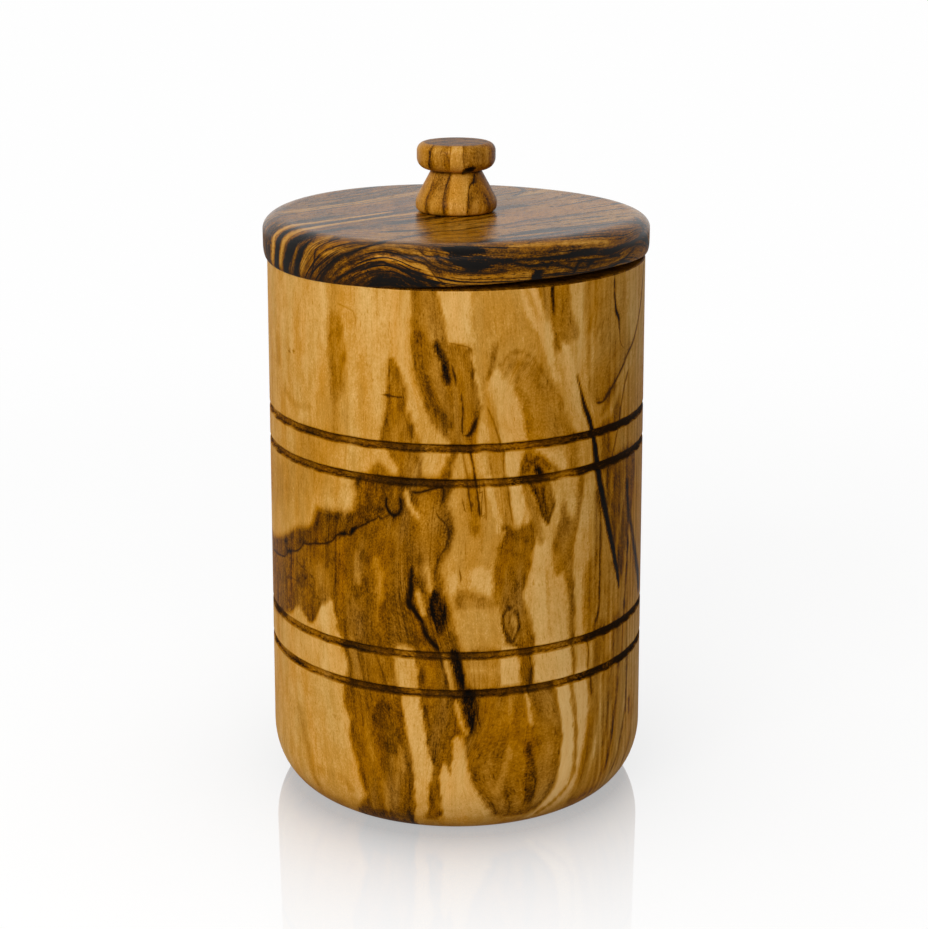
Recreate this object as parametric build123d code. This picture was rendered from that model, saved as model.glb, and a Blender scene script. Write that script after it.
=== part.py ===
from build123d import *
import math
import os

# A turned wooden spice jar: a straight-sided jar with two pairs of ring grooves, and a round
# lid with a spigot, a seal ring and a screwed-on knob. The origin is at the middle of the
# base, +Z runs up the turning axis, -Y is the front, and every length is in millimetres.

# Jar body
rim_radius = 45.0
base_flare = 1.2
body_height = 132.2
base_rounding_width = 9.8
base_rounding_height = 13.9
rim_wall = 7.5
floor_thickness = 12.0
bore_corner_rounding = 6.0
rim_outer_break = 0.5
rim_inner_break = 0.8

# Ring grooves, as a middle height and a spacing for each pair
upper_pair_height = 92.3
upper_pair_spacing = 8.1
lower_pair_height = 42.3
lower_pair_spacing = 9.3
groove_width = 2.0
groove_depth = 0.8

# Lid plate
lid_overhang = 0.9
lid_thickness = 9.8
lid_top_rounding_width = 5.2
lid_top_rounding_height = 3.4
lid_under_rounding_width = 0.8
lid_under_rounding_height = 2.9

# The lid has dried into a slight twist: it all but touches the rim at its front left and back
# right, and stands off it at the other two quarters by these lifts
lid_seat_clearance = 0.1
front_right_lift = 1.7
back_left_lift = 0.8

# Spigot under the lid plate, which drops into the bore
spigot_clearance = 0.6
spigot_depth = 9.0
spigot_lead = 1.0

# Seal ring and the groove that holds it round the spigot
seal_top_depth = 2.0
seal_groove_height = 4.0
seal_groove_depth = 1.6
seal_band_thickness = 0.8
seal_lip_thickness = 0.7
seal_lip_tip = 0.35
seal_bore_clearance = 0.05
seal_groove_clearance = 0.05
seal_side_clearance = 0.1

# Knob
knob_foot_radius = 9.65
knob_foot_rounding = 1.6
knob_cone_foot_height = 3.0
knob_shoulder_rounding = 4.0
knob_neck_radius = 5.8
knob_neck_height = 10.1
knob_head_radius = 9.3
knob_head_height = 6.3
knob_head_under_rounding = 2.7
knob_head_top_rounding = 2.0

# Countersunk screw that comes up through the lid into the knob
screw_radius = 2.0
screw_length = 28.0
screw_tip_length = 3.5
screw_head_radius = 3.8
screw_head_height = 2.2
screw_head_inset = 0.4
screw_slot_length = 4.4
screw_slot_width = 0.9
screw_slot_depth = 1.4
screw_hole_clearance = 0.2
screw_thread_clearance = 0.02
screw_head_clearance = 0.05
pilot_hole_spare = 0.8

# How far a cutting shape runs past the face that it cuts
cut_overrun = 1.0

# Sizes and heights that follow from the ones above
base_radius = rim_radius + base_flare
bore_radius = rim_radius - rim_wall
lid_radius = rim_radius + lid_overhang
lid_top = body_height + lid_thickness
spigot_radius = bore_radius - spigot_clearance
spigot_foot = body_height - spigot_depth
seal_groove_top = body_height - seal_top_depth
seal_groove_foot = seal_groove_top - seal_groove_height
seal_groove_floor = spigot_radius - seal_groove_depth
screw_head_face = spigot_foot + screw_head_inset
screw_head_top = screw_head_face + screw_head_height
screw_tip = screw_head_face + screw_length
knob_neck = lid_top + knob_neck_height
knob_top = knob_neck + knob_head_height


def side_radius(height):
    """Radius of the jar's gently tapered side at a height above the foot rounding."""
    share = (height - base_rounding_height) / (body_height - base_rounding_height)
    return base_radius + (rim_radius - base_radius) * share


def section(corners):
    """A closed half-section, drawn in the XZ plane, from a list of (radius, height) corners."""
    outline = Polyline(*[(radius, 0, height) for radius, height in corners], close=True)
    return make_face(outline)


def corner_point(face, corner):
    """The half-section's own point that lies nearest to a (radius, height) corner."""
    return face.vertices().sort_by_distance(Vector(corner[0], 0, corner[1]))[0]


def rounded(face, corner, radius):
    """The half-section with one corner rounded off."""
    return fillet(corner_point(face, corner), radius)


def turned(face):
    """The solid that a half-section sweeps round the turning axis."""
    return revolve(face, Axis.Z)


def turned_ring(inner, outer, foot, top):
    """A turned ring with a plain square section, or a plain disc if its inner radius is 0."""
    return turned(section([(inner, foot), (outer, foot), (outer, top), (inner, top)]))


def ring_groove(height):
    """The round-nosed cut that one ring groove takes out of the side."""
    nose_radius = (groove_width**2 / 4 + groove_depth**2) / (2 * groove_depth)
    centre = (side_radius(height) - groove_depth + nose_radius, 0, height)
    return turned(Plane(centre, x_dir=(1, 0, 0), z_dir=(0, -1, 0)) * Circle(nose_radius))


def jar_section(rim, mouth, corner):
    """The jar's half-section, with its foot rounded and its other corners still square."""
    flat_radius = base_radius - base_rounding_width
    side_foot = (base_radius, base_rounding_height)
    with BuildSketch(Plane.XZ) as half:
        with BuildLine():
            Line((0, 0), (flat_radius, 0))
            EllipticalCenterArc(
                (flat_radius, base_rounding_height),
                base_rounding_width,
                base_rounding_height,
                start_angle=-90,
                arc_size=90,
            )
            Polyline(side_foot, rim, mouth, corner, (0, floor_thickness), (0, 0))
        make_face()
    return half.sketch


def make_jar_body():
    """The jar: one turned block with a blind bore, a rounded foot and four ring grooves."""
    rim, mouth = (rim_radius, body_height), (bore_radius, body_height)
    corner = (bore_radius, floor_thickness)
    profile = jar_section(rim, mouth, corner)
    profile = rounded(profile, rim, rim_outer_break)
    profile = rounded(profile, mouth, rim_inner_break)
    profile = rounded(profile, corner, bore_corner_rounding)
    jar = turned(profile)
    for middle, spacing in (
        (upper_pair_height, upper_pair_spacing),
        (lower_pair_height, lower_pair_spacing),
    ):
        for height in (middle + spacing / 2, middle - spacing / 2):
            jar -= ring_groove(height)
    return jar


def lid_plate():
    """The lid's round plate, with a flat underside and both edges rounded."""
    inner_over = lid_radius - lid_top_rounding_width
    inner_under = lid_radius - lid_under_rounding_width
    shoulder = lid_top - lid_top_rounding_height
    skirt = body_height + lid_under_rounding_height
    with BuildSketch(Plane.XZ) as plate:
        with BuildLine():
            Line((0, body_height), (inner_under, body_height))
            EllipticalCenterArc(
                (inner_under, skirt),
                lid_under_rounding_width,
                lid_under_rounding_height,
                start_angle=-90,
                arc_size=90,
            )
            Line((lid_radius, skirt), (lid_radius, shoulder))
            EllipticalCenterArc(
                (inner_over, shoulder),
                lid_top_rounding_width,
                lid_top_rounding_height,
                start_angle=0,
                arc_size=90,
            )
            Line((inner_over, lid_top), (0, lid_top))
            Line((0, lid_top), (0, body_height))
        make_face()
    return turned(plate.sketch)


def twist_lift(x, y):
    """How far the twisted underside stands above the rim's plane at a point.

    Each corner's lift holds on the rim at 45 degrees and fades in a straight line along X
    and along Y, so the underside is a ruled face like a slightly twisted board.
    """
    corner = rim_radius / math.sqrt(2)
    front_right = front_right_lift * (1 + x / corner) * (1 - y / corner) / 4
    back_left = back_left_lift * (1 - x / corner) * (1 + y / corner) / 4
    return lid_seat_clearance + front_right + back_left


def twisted_cut():
    """The thin space that the lid's twisted underside leaves above the rim's plane."""
    reach = lid_radius + cut_overrun
    depth = lid_thickness + front_right_lift + back_left_lift

    def edge(y):
        ends = [(x, y, body_height + twist_lift(x, y)) for x in (-reach, reach)]
        return Edge.make_line(*ends)

    underside = Face.make_surface_from_curves(edge(-reach), edge(reach))
    return Solid.extrude(underside, Vector(0, 0, -depth))


def lid_spigot():
    """The spigot under the plate, led in at its foot and running up into the plate."""
    head = body_height + lid_seat_clearance + front_right_lift + back_left_lift
    foot = (spigot_radius, spigot_foot)
    profile = section([(0, spigot_foot), foot, (spigot_radius, head), (0, head)])
    return turned(chamfer(corner_point(profile, foot), spigot_lead))


def screw_hole():
    """The hole through the lid for the screw, countersunk from below."""
    below, above = spigot_foot - cut_overrun, lid_top + cut_overrun
    hole = screw_radius + screw_hole_clearance
    sink = screw_head_radius + screw_head_clearance
    sink_wall = [(0, below), (sink, below), (sink, screw_head_face)]
    return turned(section(sink_wall + [(hole, screw_head_top), (hole, above), (0, above)]))


def make_lid():
    """The lid: its plate and spigot in one, with the seal ring's groove and the screw's hole."""
    seal_groove = turned_ring(
        seal_groove_floor, spigot_radius + cut_overrun, seal_groove_foot, seal_groove_top
    )
    return lid_plate() - twisted_cut() + lid_spigot() - seal_groove - screw_hole()


def make_seal_ring():
    """The seal ring: a band that sits in the spigot's groove, with two lips out to the bore."""
    inner = seal_groove_floor + seal_groove_clearance
    band = inner + seal_band_thickness
    lip = bore_radius - seal_bore_clearance
    foot = seal_groove_foot + seal_side_clearance
    top = seal_groove_top - seal_side_clearance
    ring = turned_ring(inner, band, foot, top)
    for root in (foot, top - 2 * seal_lip_thickness):
        middle = root + seal_lip_thickness
        ring += turned(
            section(
                [
                    (inner, root),
                    (band, root),
                    (lip, middle - seal_lip_tip / 2),
                    (lip, middle + seal_lip_tip / 2),
                    (band, middle + seal_lip_thickness),
                    (inner, middle + seal_lip_thickness),
                ]
            )
        )
    return ring


def make_knob():
    """The knob: a coned foot, a narrow neck and a round flat-topped head, drilled for the screw."""
    foot, shoulder = (knob_foot_radius, lid_top), (knob_foot_radius, lid_top + knob_cone_foot_height)
    head_under, head_top = (knob_head_radius, knob_neck), (knob_head_radius, knob_top)
    stem = [(0, lid_top), foot, shoulder, (knob_neck_radius, knob_neck)]
    profile = section(stem + [head_under, head_top, (0, knob_top)])
    profile = rounded(profile, foot, knob_foot_rounding)
    profile = rounded(profile, shoulder, knob_shoulder_rounding)
    profile = rounded(profile, head_under, knob_head_under_rounding)
    profile = rounded(profile, head_top, knob_head_top_rounding)
    pilot_radius = screw_radius + screw_thread_clearance
    return turned(profile) - turned_ring(
        0, pilot_radius, lid_top - cut_overrun, screw_tip + pilot_hole_spare
    )


def make_knob_screw():
    """The countersunk wood screw, with a cross slot in its head and a plain threaded length."""
    head = [(0, screw_head_face), (screw_head_radius, screw_head_face)]
    shank = [(screw_radius, screw_head_top), (screw_radius, screw_tip - screw_tip_length)]
    screw = turned(section(head + shank + [(0, screw_tip)]))
    for turn in (0, 90):
        slot = Box(screw_slot_length, screw_slot_width, 2 * screw_slot_depth)
        screw -= Pos(0, 0, screw_head_face) * Rot(0, 0, turn) * slot
    return screw


def main():
    """Writes one STEP file for each piece."""
    os.makedirs("parts", exist_ok=True)
    pieces = {
        "jar_body": make_jar_body(),
        "lid": make_lid(),
        "seal_ring": make_seal_ring(),
        "knob": make_knob(),
        "knob_screw": make_knob_screw(),
    }
    for name, piece in pieces.items():
        export_step(piece, f"parts/{name}.step")


main()
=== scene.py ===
"""A turned olive-wood spice jar: its wood, finishes, floor, lamps and camera.

The CAD frame gives every piece its place. The wooden pieces are turned again here as fine
numpy grids, so that the figure of the wood can be laid on them as smooth fields: an overall
tone, thin dark lines, scorched grooves and the run of the fibres.

The marks of the figure lie at (across, along) places in millimetres. On the jar and the knob
across runs round the side from the front towards the right, and along is the height above the
table plus the piece's mark_lift. The lid's top and edge are laid flat round its middle: across
runs to the right and along to the back, both over the rounded edge. FLAT_RADIUS is the radius
at which the jar's side is unrolled.
"""

import logging
import math
from dataclasses import dataclass, field
from enum import Enum
from typing import Callable, Sequence

import bpy
import numpy as np
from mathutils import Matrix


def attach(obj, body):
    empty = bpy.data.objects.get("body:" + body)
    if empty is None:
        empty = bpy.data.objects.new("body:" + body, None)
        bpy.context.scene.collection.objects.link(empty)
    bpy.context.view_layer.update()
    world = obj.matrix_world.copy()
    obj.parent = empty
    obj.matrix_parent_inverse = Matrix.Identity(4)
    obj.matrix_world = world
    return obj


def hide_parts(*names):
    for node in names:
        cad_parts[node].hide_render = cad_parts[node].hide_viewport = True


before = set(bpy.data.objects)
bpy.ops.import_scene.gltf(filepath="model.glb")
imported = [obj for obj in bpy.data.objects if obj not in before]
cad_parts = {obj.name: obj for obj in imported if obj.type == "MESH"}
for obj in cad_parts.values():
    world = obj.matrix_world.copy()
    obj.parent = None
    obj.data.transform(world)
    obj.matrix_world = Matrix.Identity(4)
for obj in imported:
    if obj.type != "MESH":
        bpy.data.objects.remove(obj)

LOG = logging.getLogger("spice_jar")
MM = 0.001
FULL_TURN = 2.0 * math.pi
FLAT_RADIUS = 45.6
FLAT_TURN = FULL_TURN * FLAT_RADIUS
FAR_OFF = 9.0
TINY = 1e-9
TINY_SQUARE = 1e-12

Point = tuple[float, ...]
Fields = dict[str, np.ndarray]


# Plain sums on whole arrays


def smooth_step(low: float, high: float, value: np.ndarray) -> np.ndarray:
    """An S-shaped ramp from 0 at low to 1 at high: t squared times (3 minus 2t)."""
    t = np.clip((value - low) / (high - low), 0.0, 1.0)
    return t * t * (3.0 - 2.0 * t)


def blend(start: np.ndarray, end: np.ndarray, share: np.ndarray) -> np.ndarray:
    """The straight mix of two arrays: start plus share times (end minus start)."""
    return start + (end - start) * share


def smooth_curve(points: Sequence[Point], steps: int = 6, closed: bool = False) -> np.ndarray:
    """A Catmull-Rom curve through given points.

    Between two points the curve is the cubic that passes both, with the slope at each one half
    of the straight step between its neighbours.

    Args:
        points: the points, each with any number of columns.
        steps: how many curve points each span gets.
        closed: whether the curve runs on from the last point to the first.

    Returns:
        The curve's points, one to a row.
    """
    knots = np.array(points, float)
    if closed:
        knots = np.vstack([knots[-1:], knots, knots[:2]])
    else:
        first = 2.0 * knots[:1] - knots[1:2]
        last = 2.0 * knots[-1:] - knots[-2:-1]
        knots = np.vstack([first, knots, last])
    before, start, end, after = knots[:-3], knots[1:-2], knots[2:-1], knots[3:]
    t = np.linspace(0.0, 1.0, steps, endpoint=False)[:, None, None]
    slope = (end - before) * t
    bend = (2.0 * before - 5.0 * start + 4.0 * end - after) * t**2
    twist = (3.0 * (start - end) + after - before) * t**3
    spans = 0.5 * (2.0 * start + slope + bend + twist)
    curve = np.swapaxes(spans, 0, 1).reshape(-1, knots.shape[1])
    return curve if closed else np.vstack([curve, knots[-2:-1]])


def ripple(a: np.ndarray, b: np.ndarray, seed: int, size_a: float, size_b: float) -> np.ndarray:
    """Smooth seeded unevenness between about -1 and 1.

    It is the sum of nine sine waves over 4, each with its own direction, length and phase.

    Args:
        a: first coordinate of each place.
        b: second coordinate of each place.
        seed: the seed of the waves' random draws.
        size_a: about how long the waves are along the first coordinate.
        size_b: about how long they are along the second.

    Returns:
        The unevenness at each place.
    """
    waves = 9
    rng = np.random.default_rng(seed)
    total = np.zeros(np.broadcast(a, b).shape)
    for _ in range(waves):
        stretch = rng.uniform(0.6, 1.9, 2) * rng.choice([-1.0, 1.0], 2)
        phase = rng.uniform(0.0, FULL_TURN)
        total += np.sin(FULL_TURN * (a / size_a * stretch[0] + b / size_b * stretch[1]) + phase)
    return total / 4.0


# The figure of the wood


class Mark(Enum):
    """How a streak is laid on the wood: as a crisp thin line or as a soft stain."""

    LINE = "line"
    STAIN = "stain"


@dataclass(frozen=True)
class Patch:
    """A closed area of one tone, from 0 for the palest sapwood to 1 for black heart.

    edge is the width in millimetres over which the patch fades out at its outline.
    """

    tone: float
    edge: float
    outline: tuple[Point, ...]


@dataclass(frozen=True)
class Streak:
    """A line or stain along a path; its points are (across, along, width) in millimetres."""

    tone: float
    path: tuple[Point, ...]
    kind: Mark = Mark.LINE
    edge: float = 0.5
    strength: float = 1.0


def line(tone: float, width: float, *points: Point) -> Streak:
    """A crisp thin line; a point with a third value has its own width there."""
    return Streak(tone, tuple((*p, width) if len(p) == 2 else p for p in points))


def stain(tone: float, width: float, edge: float, *points: Point, strength: float = 1.0) -> Streak:
    """A soft streak; a point with a third value has its own width there."""
    path = tuple((*p, width) if len(p) == 2 else p for p in points)
    return Streak(tone, path, Mark.STAIN, edge, strength)


def near(a: np.ndarray, b: np.ndarray, points: np.ndarray, margin: float) -> np.ndarray:
    """The rows of the grid points that lie in a path's own box, widened by a margin.

    Args:
        a: the grid points' first coordinates.
        b: the grid points' second coordinates.
        points: the path's points.
        margin: how far the box is widened on each side, in millimetres.

    Returns:
        The rows of the points that lie in the box.
    """
    low = points[:, :2].min(0) - margin
    high = points[:, :2].max(0) + margin
    inside = (a > low[0]) & (a < high[0]) & (b > low[1]) & (b < high[1])
    return np.nonzero(inside)[0]


def distance_inside(a: np.ndarray, b: np.ndarray, outline: np.ndarray) -> np.ndarray:
    """Signed distance to a closed outline, positive inside it.

    It is the least distance to any side, with its sign from the number of sides that a ray
    to the right crosses.

    Args:
        a: the grid points' first coordinates.
        b: the grid points' second coordinates.
        outline: the outline's points in order.

    Returns:
        The signed distance of each grid point, in millimetres.
    """
    start = outline
    end = np.roll(outline, -1, 0)
    step = end - start
    gap_a = a[:, None] - start[None, :, 0]
    gap_b = b[:, None] - start[None, :, 1]
    length = np.maximum((step**2).sum(1), TINY_SQUARE)
    share = np.clip((gap_a * step[:, 0] + gap_b * step[:, 1]) / length, 0.0, 1.0)
    off = np.hypot(gap_a - share * step[:, 0], gap_b - share * step[:, 1]).min(1)
    spans = (start[None, :, 1] > b[:, None]) != (end[None, :, 1] > b[:, None])
    rise = np.where(np.abs(step[:, 1]) < TINY, TINY, step[:, 1])
    crossing = start[None, :, 0] + gap_b / rise * step[:, 0]
    inside = (spans & (a[:, None] < crossing)).sum(1) % 2 == 1
    return np.where(inside, off, -off)


def along_path(a: np.ndarray, b: np.ndarray, path: np.ndarray) -> tuple[np.ndarray, ...]:
    """Where grid points lie beside a path.

    Args:
        a: the points' first coordinates.
        b: the points' second coordinates.
        path: the path's points, as rows of (first, second, width).

    Returns:
        The least distance, the signed distance to the nearest stretch's straight line, the
        width there, the way gone along the path and how far the point is past an end.
    """
    start = path[:-1]
    step = path[1:] - path[:-1]
    length = np.maximum(np.hypot(step[:, 0], step[:, 1]), TINY)
    gone = np.concatenate([[0.0], np.cumsum(length)])
    gap_a = a[:, None] - start[None, :, 0]
    gap_b = b[:, None] - start[None, :, 1]
    free = (gap_a * step[:, 0] + gap_b * step[:, 1]) / length**2
    share = np.clip(free, 0.0, 1.0)
    off = np.hypot(gap_a - share * step[:, 0], gap_b - share * step[:, 1])
    best = off.argmin(1)
    rows = np.arange(len(a))
    across = (gap_a * step[:, 1] - gap_b * step[:, 0]) / length
    share = share[rows, best]
    width = start[best, 2] + step[best, 2] * share
    way = gone[best] + length[best] * share
    past = np.abs(free[rows, best] - share) * length[best]
    return off[rows, best], across[rows, best], width, way, past


@dataclass
class Figure:
    """The figure of one piece of wood, laid mark by mark on its unrolled surface.

    turn is the way once round the piece, or 0 for a figure that doesn't close on itself. The
    edges of the marks waver by waver millimetres, and those darker than dark_tone by
    crisp_waver times that.
    """

    marks: Sequence[Patch | Streak]
    base_tone: float
    turn: float = 0.0
    seed: int = 1
    waver: float = 0.25
    crisp_waver: float = 0.3
    dark_tone: float = 0.78
    lipped_tone: float = 0.38
    unevenness: float = 0.03
    spare: float = 0.5
    layers: int = 3

    def unrolled(self, a: np.ndarray, points: np.ndarray) -> np.ndarray:
        """The first coordinate, moved by whole turns so that it lies nearest to a mark.

        Args:
            a: first unrolled coordinate of each grid point.
            points: the mark's points.

        Returns:
            The moved coordinate of each grid point.
        """
        if not self.turn:
            return a
        middle = (points[:, 0].min() + points[:, 0].max()) / 2.0
        return a - self.turn * np.round((a - middle) / self.turn)

    def lay(self, across: np.ndarray, along: np.ndarray) -> Fields:
        """Lays every mark in order and gives the tone and line fields at the grid points.

        Args:
            across: a grid with the first unrolled coordinate of each point, in millimetres.
            along: a grid with the second, in millimetres.

        Returns:
            tone on the same grid, and for each line layer the signed distance to the nearest
            line, or FAR_OFF where there is none, its half width and its darkness.
        """
        shape = across.shape
        a, b = across.ravel(), along.ravel()
        shift = self.waver * ripple(a, b, self.seed, 2.6, 7.0)
        shift += 0.5 * self.waver * ripple(a, b, self.seed + 1, 1.1, 2.6)
        tone = np.full(len(a), self.base_tone)
        tone += self.unevenness * ripple(a, b, self.seed + 2, 9.0, 60.0)
        offset = np.full((len(a), self.layers), FAR_OFF)
        half = np.zeros((len(a), self.layers))
        depth = np.zeros((len(a), self.layers))
        count = 0
        for mark in self.marks:
            if isinstance(mark, Patch):
                self.lay_patch(mark, a, b, shift, tone)
            elif mark.kind is Mark.STAIN:
                self.lay_stain(mark, a, b, shift, tone)
            else:
                layer = count % self.layers
                count += 1
                self.lay_line(mark, a, b, offset[:, layer], half[:, layer], depth[:, layer])
        lines = {"line_offset": offset, "line_half": half, "line_depth": depth}
        lines = {name: values.reshape(*shape, self.layers) for name, values in lines.items()}
        return {"tone": tone.reshape(shape), **lines}

    def moved(self, tone: float, shift: np.ndarray) -> np.ndarray:
        """How far a mark's edge wavers: a dark one less than a pale one."""
        return shift * (self.crisp_waver if tone > self.dark_tone else 1.0)

    def lay_patch(self, mark: Patch, a: np.ndarray, b: np.ndarray, shift: np.ndarray,
                  tone: np.ndarray) -> None:
        """Blends the tone towards a patch's own, by an S-shaped ramp across its outline.

        Just inside its outline a dark patch is darker still, as where sap has dried.

        Args:
            mark: the patch.
            a: first unrolled coordinate of each point.
            b: second unrolled coordinate of each point.
            shift: how far an edge wavers at each point.
            tone: the tones, which are changed in place.
        """
        outline = smooth_curve(mark.outline, 4, closed=True)
        first = self.unrolled(a, outline)
        rows = near(first, b, outline, mark.edge + self.spare)
        moved = self.moved(mark.tone, shift[rows])
        inside = distance_inside(first[rows] + moved, b[rows], outline)
        share = smooth_step(-mark.edge, mark.edge, inside)
        own = np.full(len(rows), mark.tone)
        if mark.tone > self.lipped_tone:
            swell = 0.7 + 0.6 * ripple(first[rows], b[rows], self.seed + 3, 5.0, 11.0)
            own += 0.1 * np.clip(swell, 0.0, 1.4) * np.exp(-(((inside - 0.6) / 1.1) ** 2))
        tone[rows] = blend(tone[rows], own, share)

    def lay_stain(self, mark: Streak, a: np.ndarray, b: np.ndarray, shift: np.ndarray,
                  tone: np.ndarray) -> None:
        """Blends the tone towards a stain's own, by how far a point is inside its width.

        Args:
            mark: the stain.
            a: first unrolled coordinate of each point.
            b: second unrolled coordinate of each point.
            shift: how far an edge wavers at each point.
            tone: the tones, which are changed in place.
        """
        path = smooth_curve(mark.path, 5)
        first = self.unrolled(a, path)
        rows = near(first, b, path, mark.edge + path[:, 2].max() + self.spare)
        moved = self.moved(mark.tone, shift[rows])
        off, _, width, _, _ = along_path(first[rows] + moved, b[rows], path)
        share = smooth_step(-mark.edge, mark.edge, width / 2.0 - off)
        tone[rows] = blend(tone[rows], mark.tone, share * mark.strength)

    def lay_line(self, mark: Streak, a: np.ndarray, b: np.ndarray, offset: np.ndarray,
                 half: np.ndarray, depth: np.ndarray) -> None:
        """Writes a line's signed distance, half width and darkness where it is the nearest.

        The half width falls to nothing beside the line and past its ends, so that the spaces
        between lines never read as a line.

        Args:
            mark: the line.
            a: first unrolled coordinate of each point.
            b: second unrolled coordinate of each point.
            offset: the layer's signed distances, which are changed in place.
            half: the layer's half widths, also changed.
            depth: the layer's darkness, also changed.
        """
        path = smooth_curve(mark.path, 6)
        first = self.unrolled(a, path)
        reach = path[:, 2].max() / 2.0 + 1.0
        rows = near(first, b, path, reach)
        off, across, width, way, past = along_path(first[rows], b[rows], path)
        size = width / 2.0
        whole = np.hypot(*np.diff(path[:, :2], axis=0).T).sum()
        taper = smooth_step(-0.1, min(0.9, whole / 3.0), np.minimum(way, whole - way))
        size = size * (0.35 + 0.65 * taper)
        size *= 1.0 - smooth_step(0.1, 0.5, past)
        size *= 1.0 - smooth_step(0.4, 0.9, off - width / 2.0)
        closer = (off < np.abs(offset[rows])) & (off < reach)
        picked = rows[closer]
        offset[picked] = across[closer]
        half[picked] = size[closer]
        depth[picked] = mark.tone


@dataclass(frozen=True)
class Fibres:
    """The run of the fibres, as guide lines that each keep one fibre number.

    Each guide holds the fibre number and the points that it passes, each as the way along the
    fibres and the way across them. Between guides the number is read off in a straight line
    across. Guides count as at least least_gap apart, and past the outer ones the number runs
    on for most_past gaps.
    """

    guides: tuple[tuple[float, tuple[Point, ...]], ...]
    least_gap: float = 0.5
    most_past: float = 4.0

    def number(self, across: np.ndarray, along: np.ndarray) -> np.ndarray:
        """The fibre number at each point: the guides' own numbers, interpolated across.

        Args:
            across: a grid with each point's way across the fibres, in millimetres.
            along: a grid with its way along them, in millimetres.

        Returns:
            The fibre numbers on the same grid.
        """
        places = []
        for _, points in self.guides:
            knots = smooth_curve(points, 8)
            places.append(np.interp(along.ravel(), knots[:, 0], knots[:, 1]))
        grid = np.stack(places, 1)
        flat = across.ravel()
        numbers = np.array([value for value, _ in self.guides])
        high = np.clip((grid < flat[:, None]).sum(1), 1, len(numbers) - 1)
        rows = np.arange(len(flat))
        left, right = grid[rows, high - 1], grid[rows, high]
        share = (flat - left) / np.maximum(right - left, self.least_gap)
        share = np.clip(share, -self.most_past, self.most_past)
        found = numbers[high - 1] + share * (numbers[high] - numbers[high - 1])
        return found.reshape(across.shape)


# The jar's figure


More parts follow.
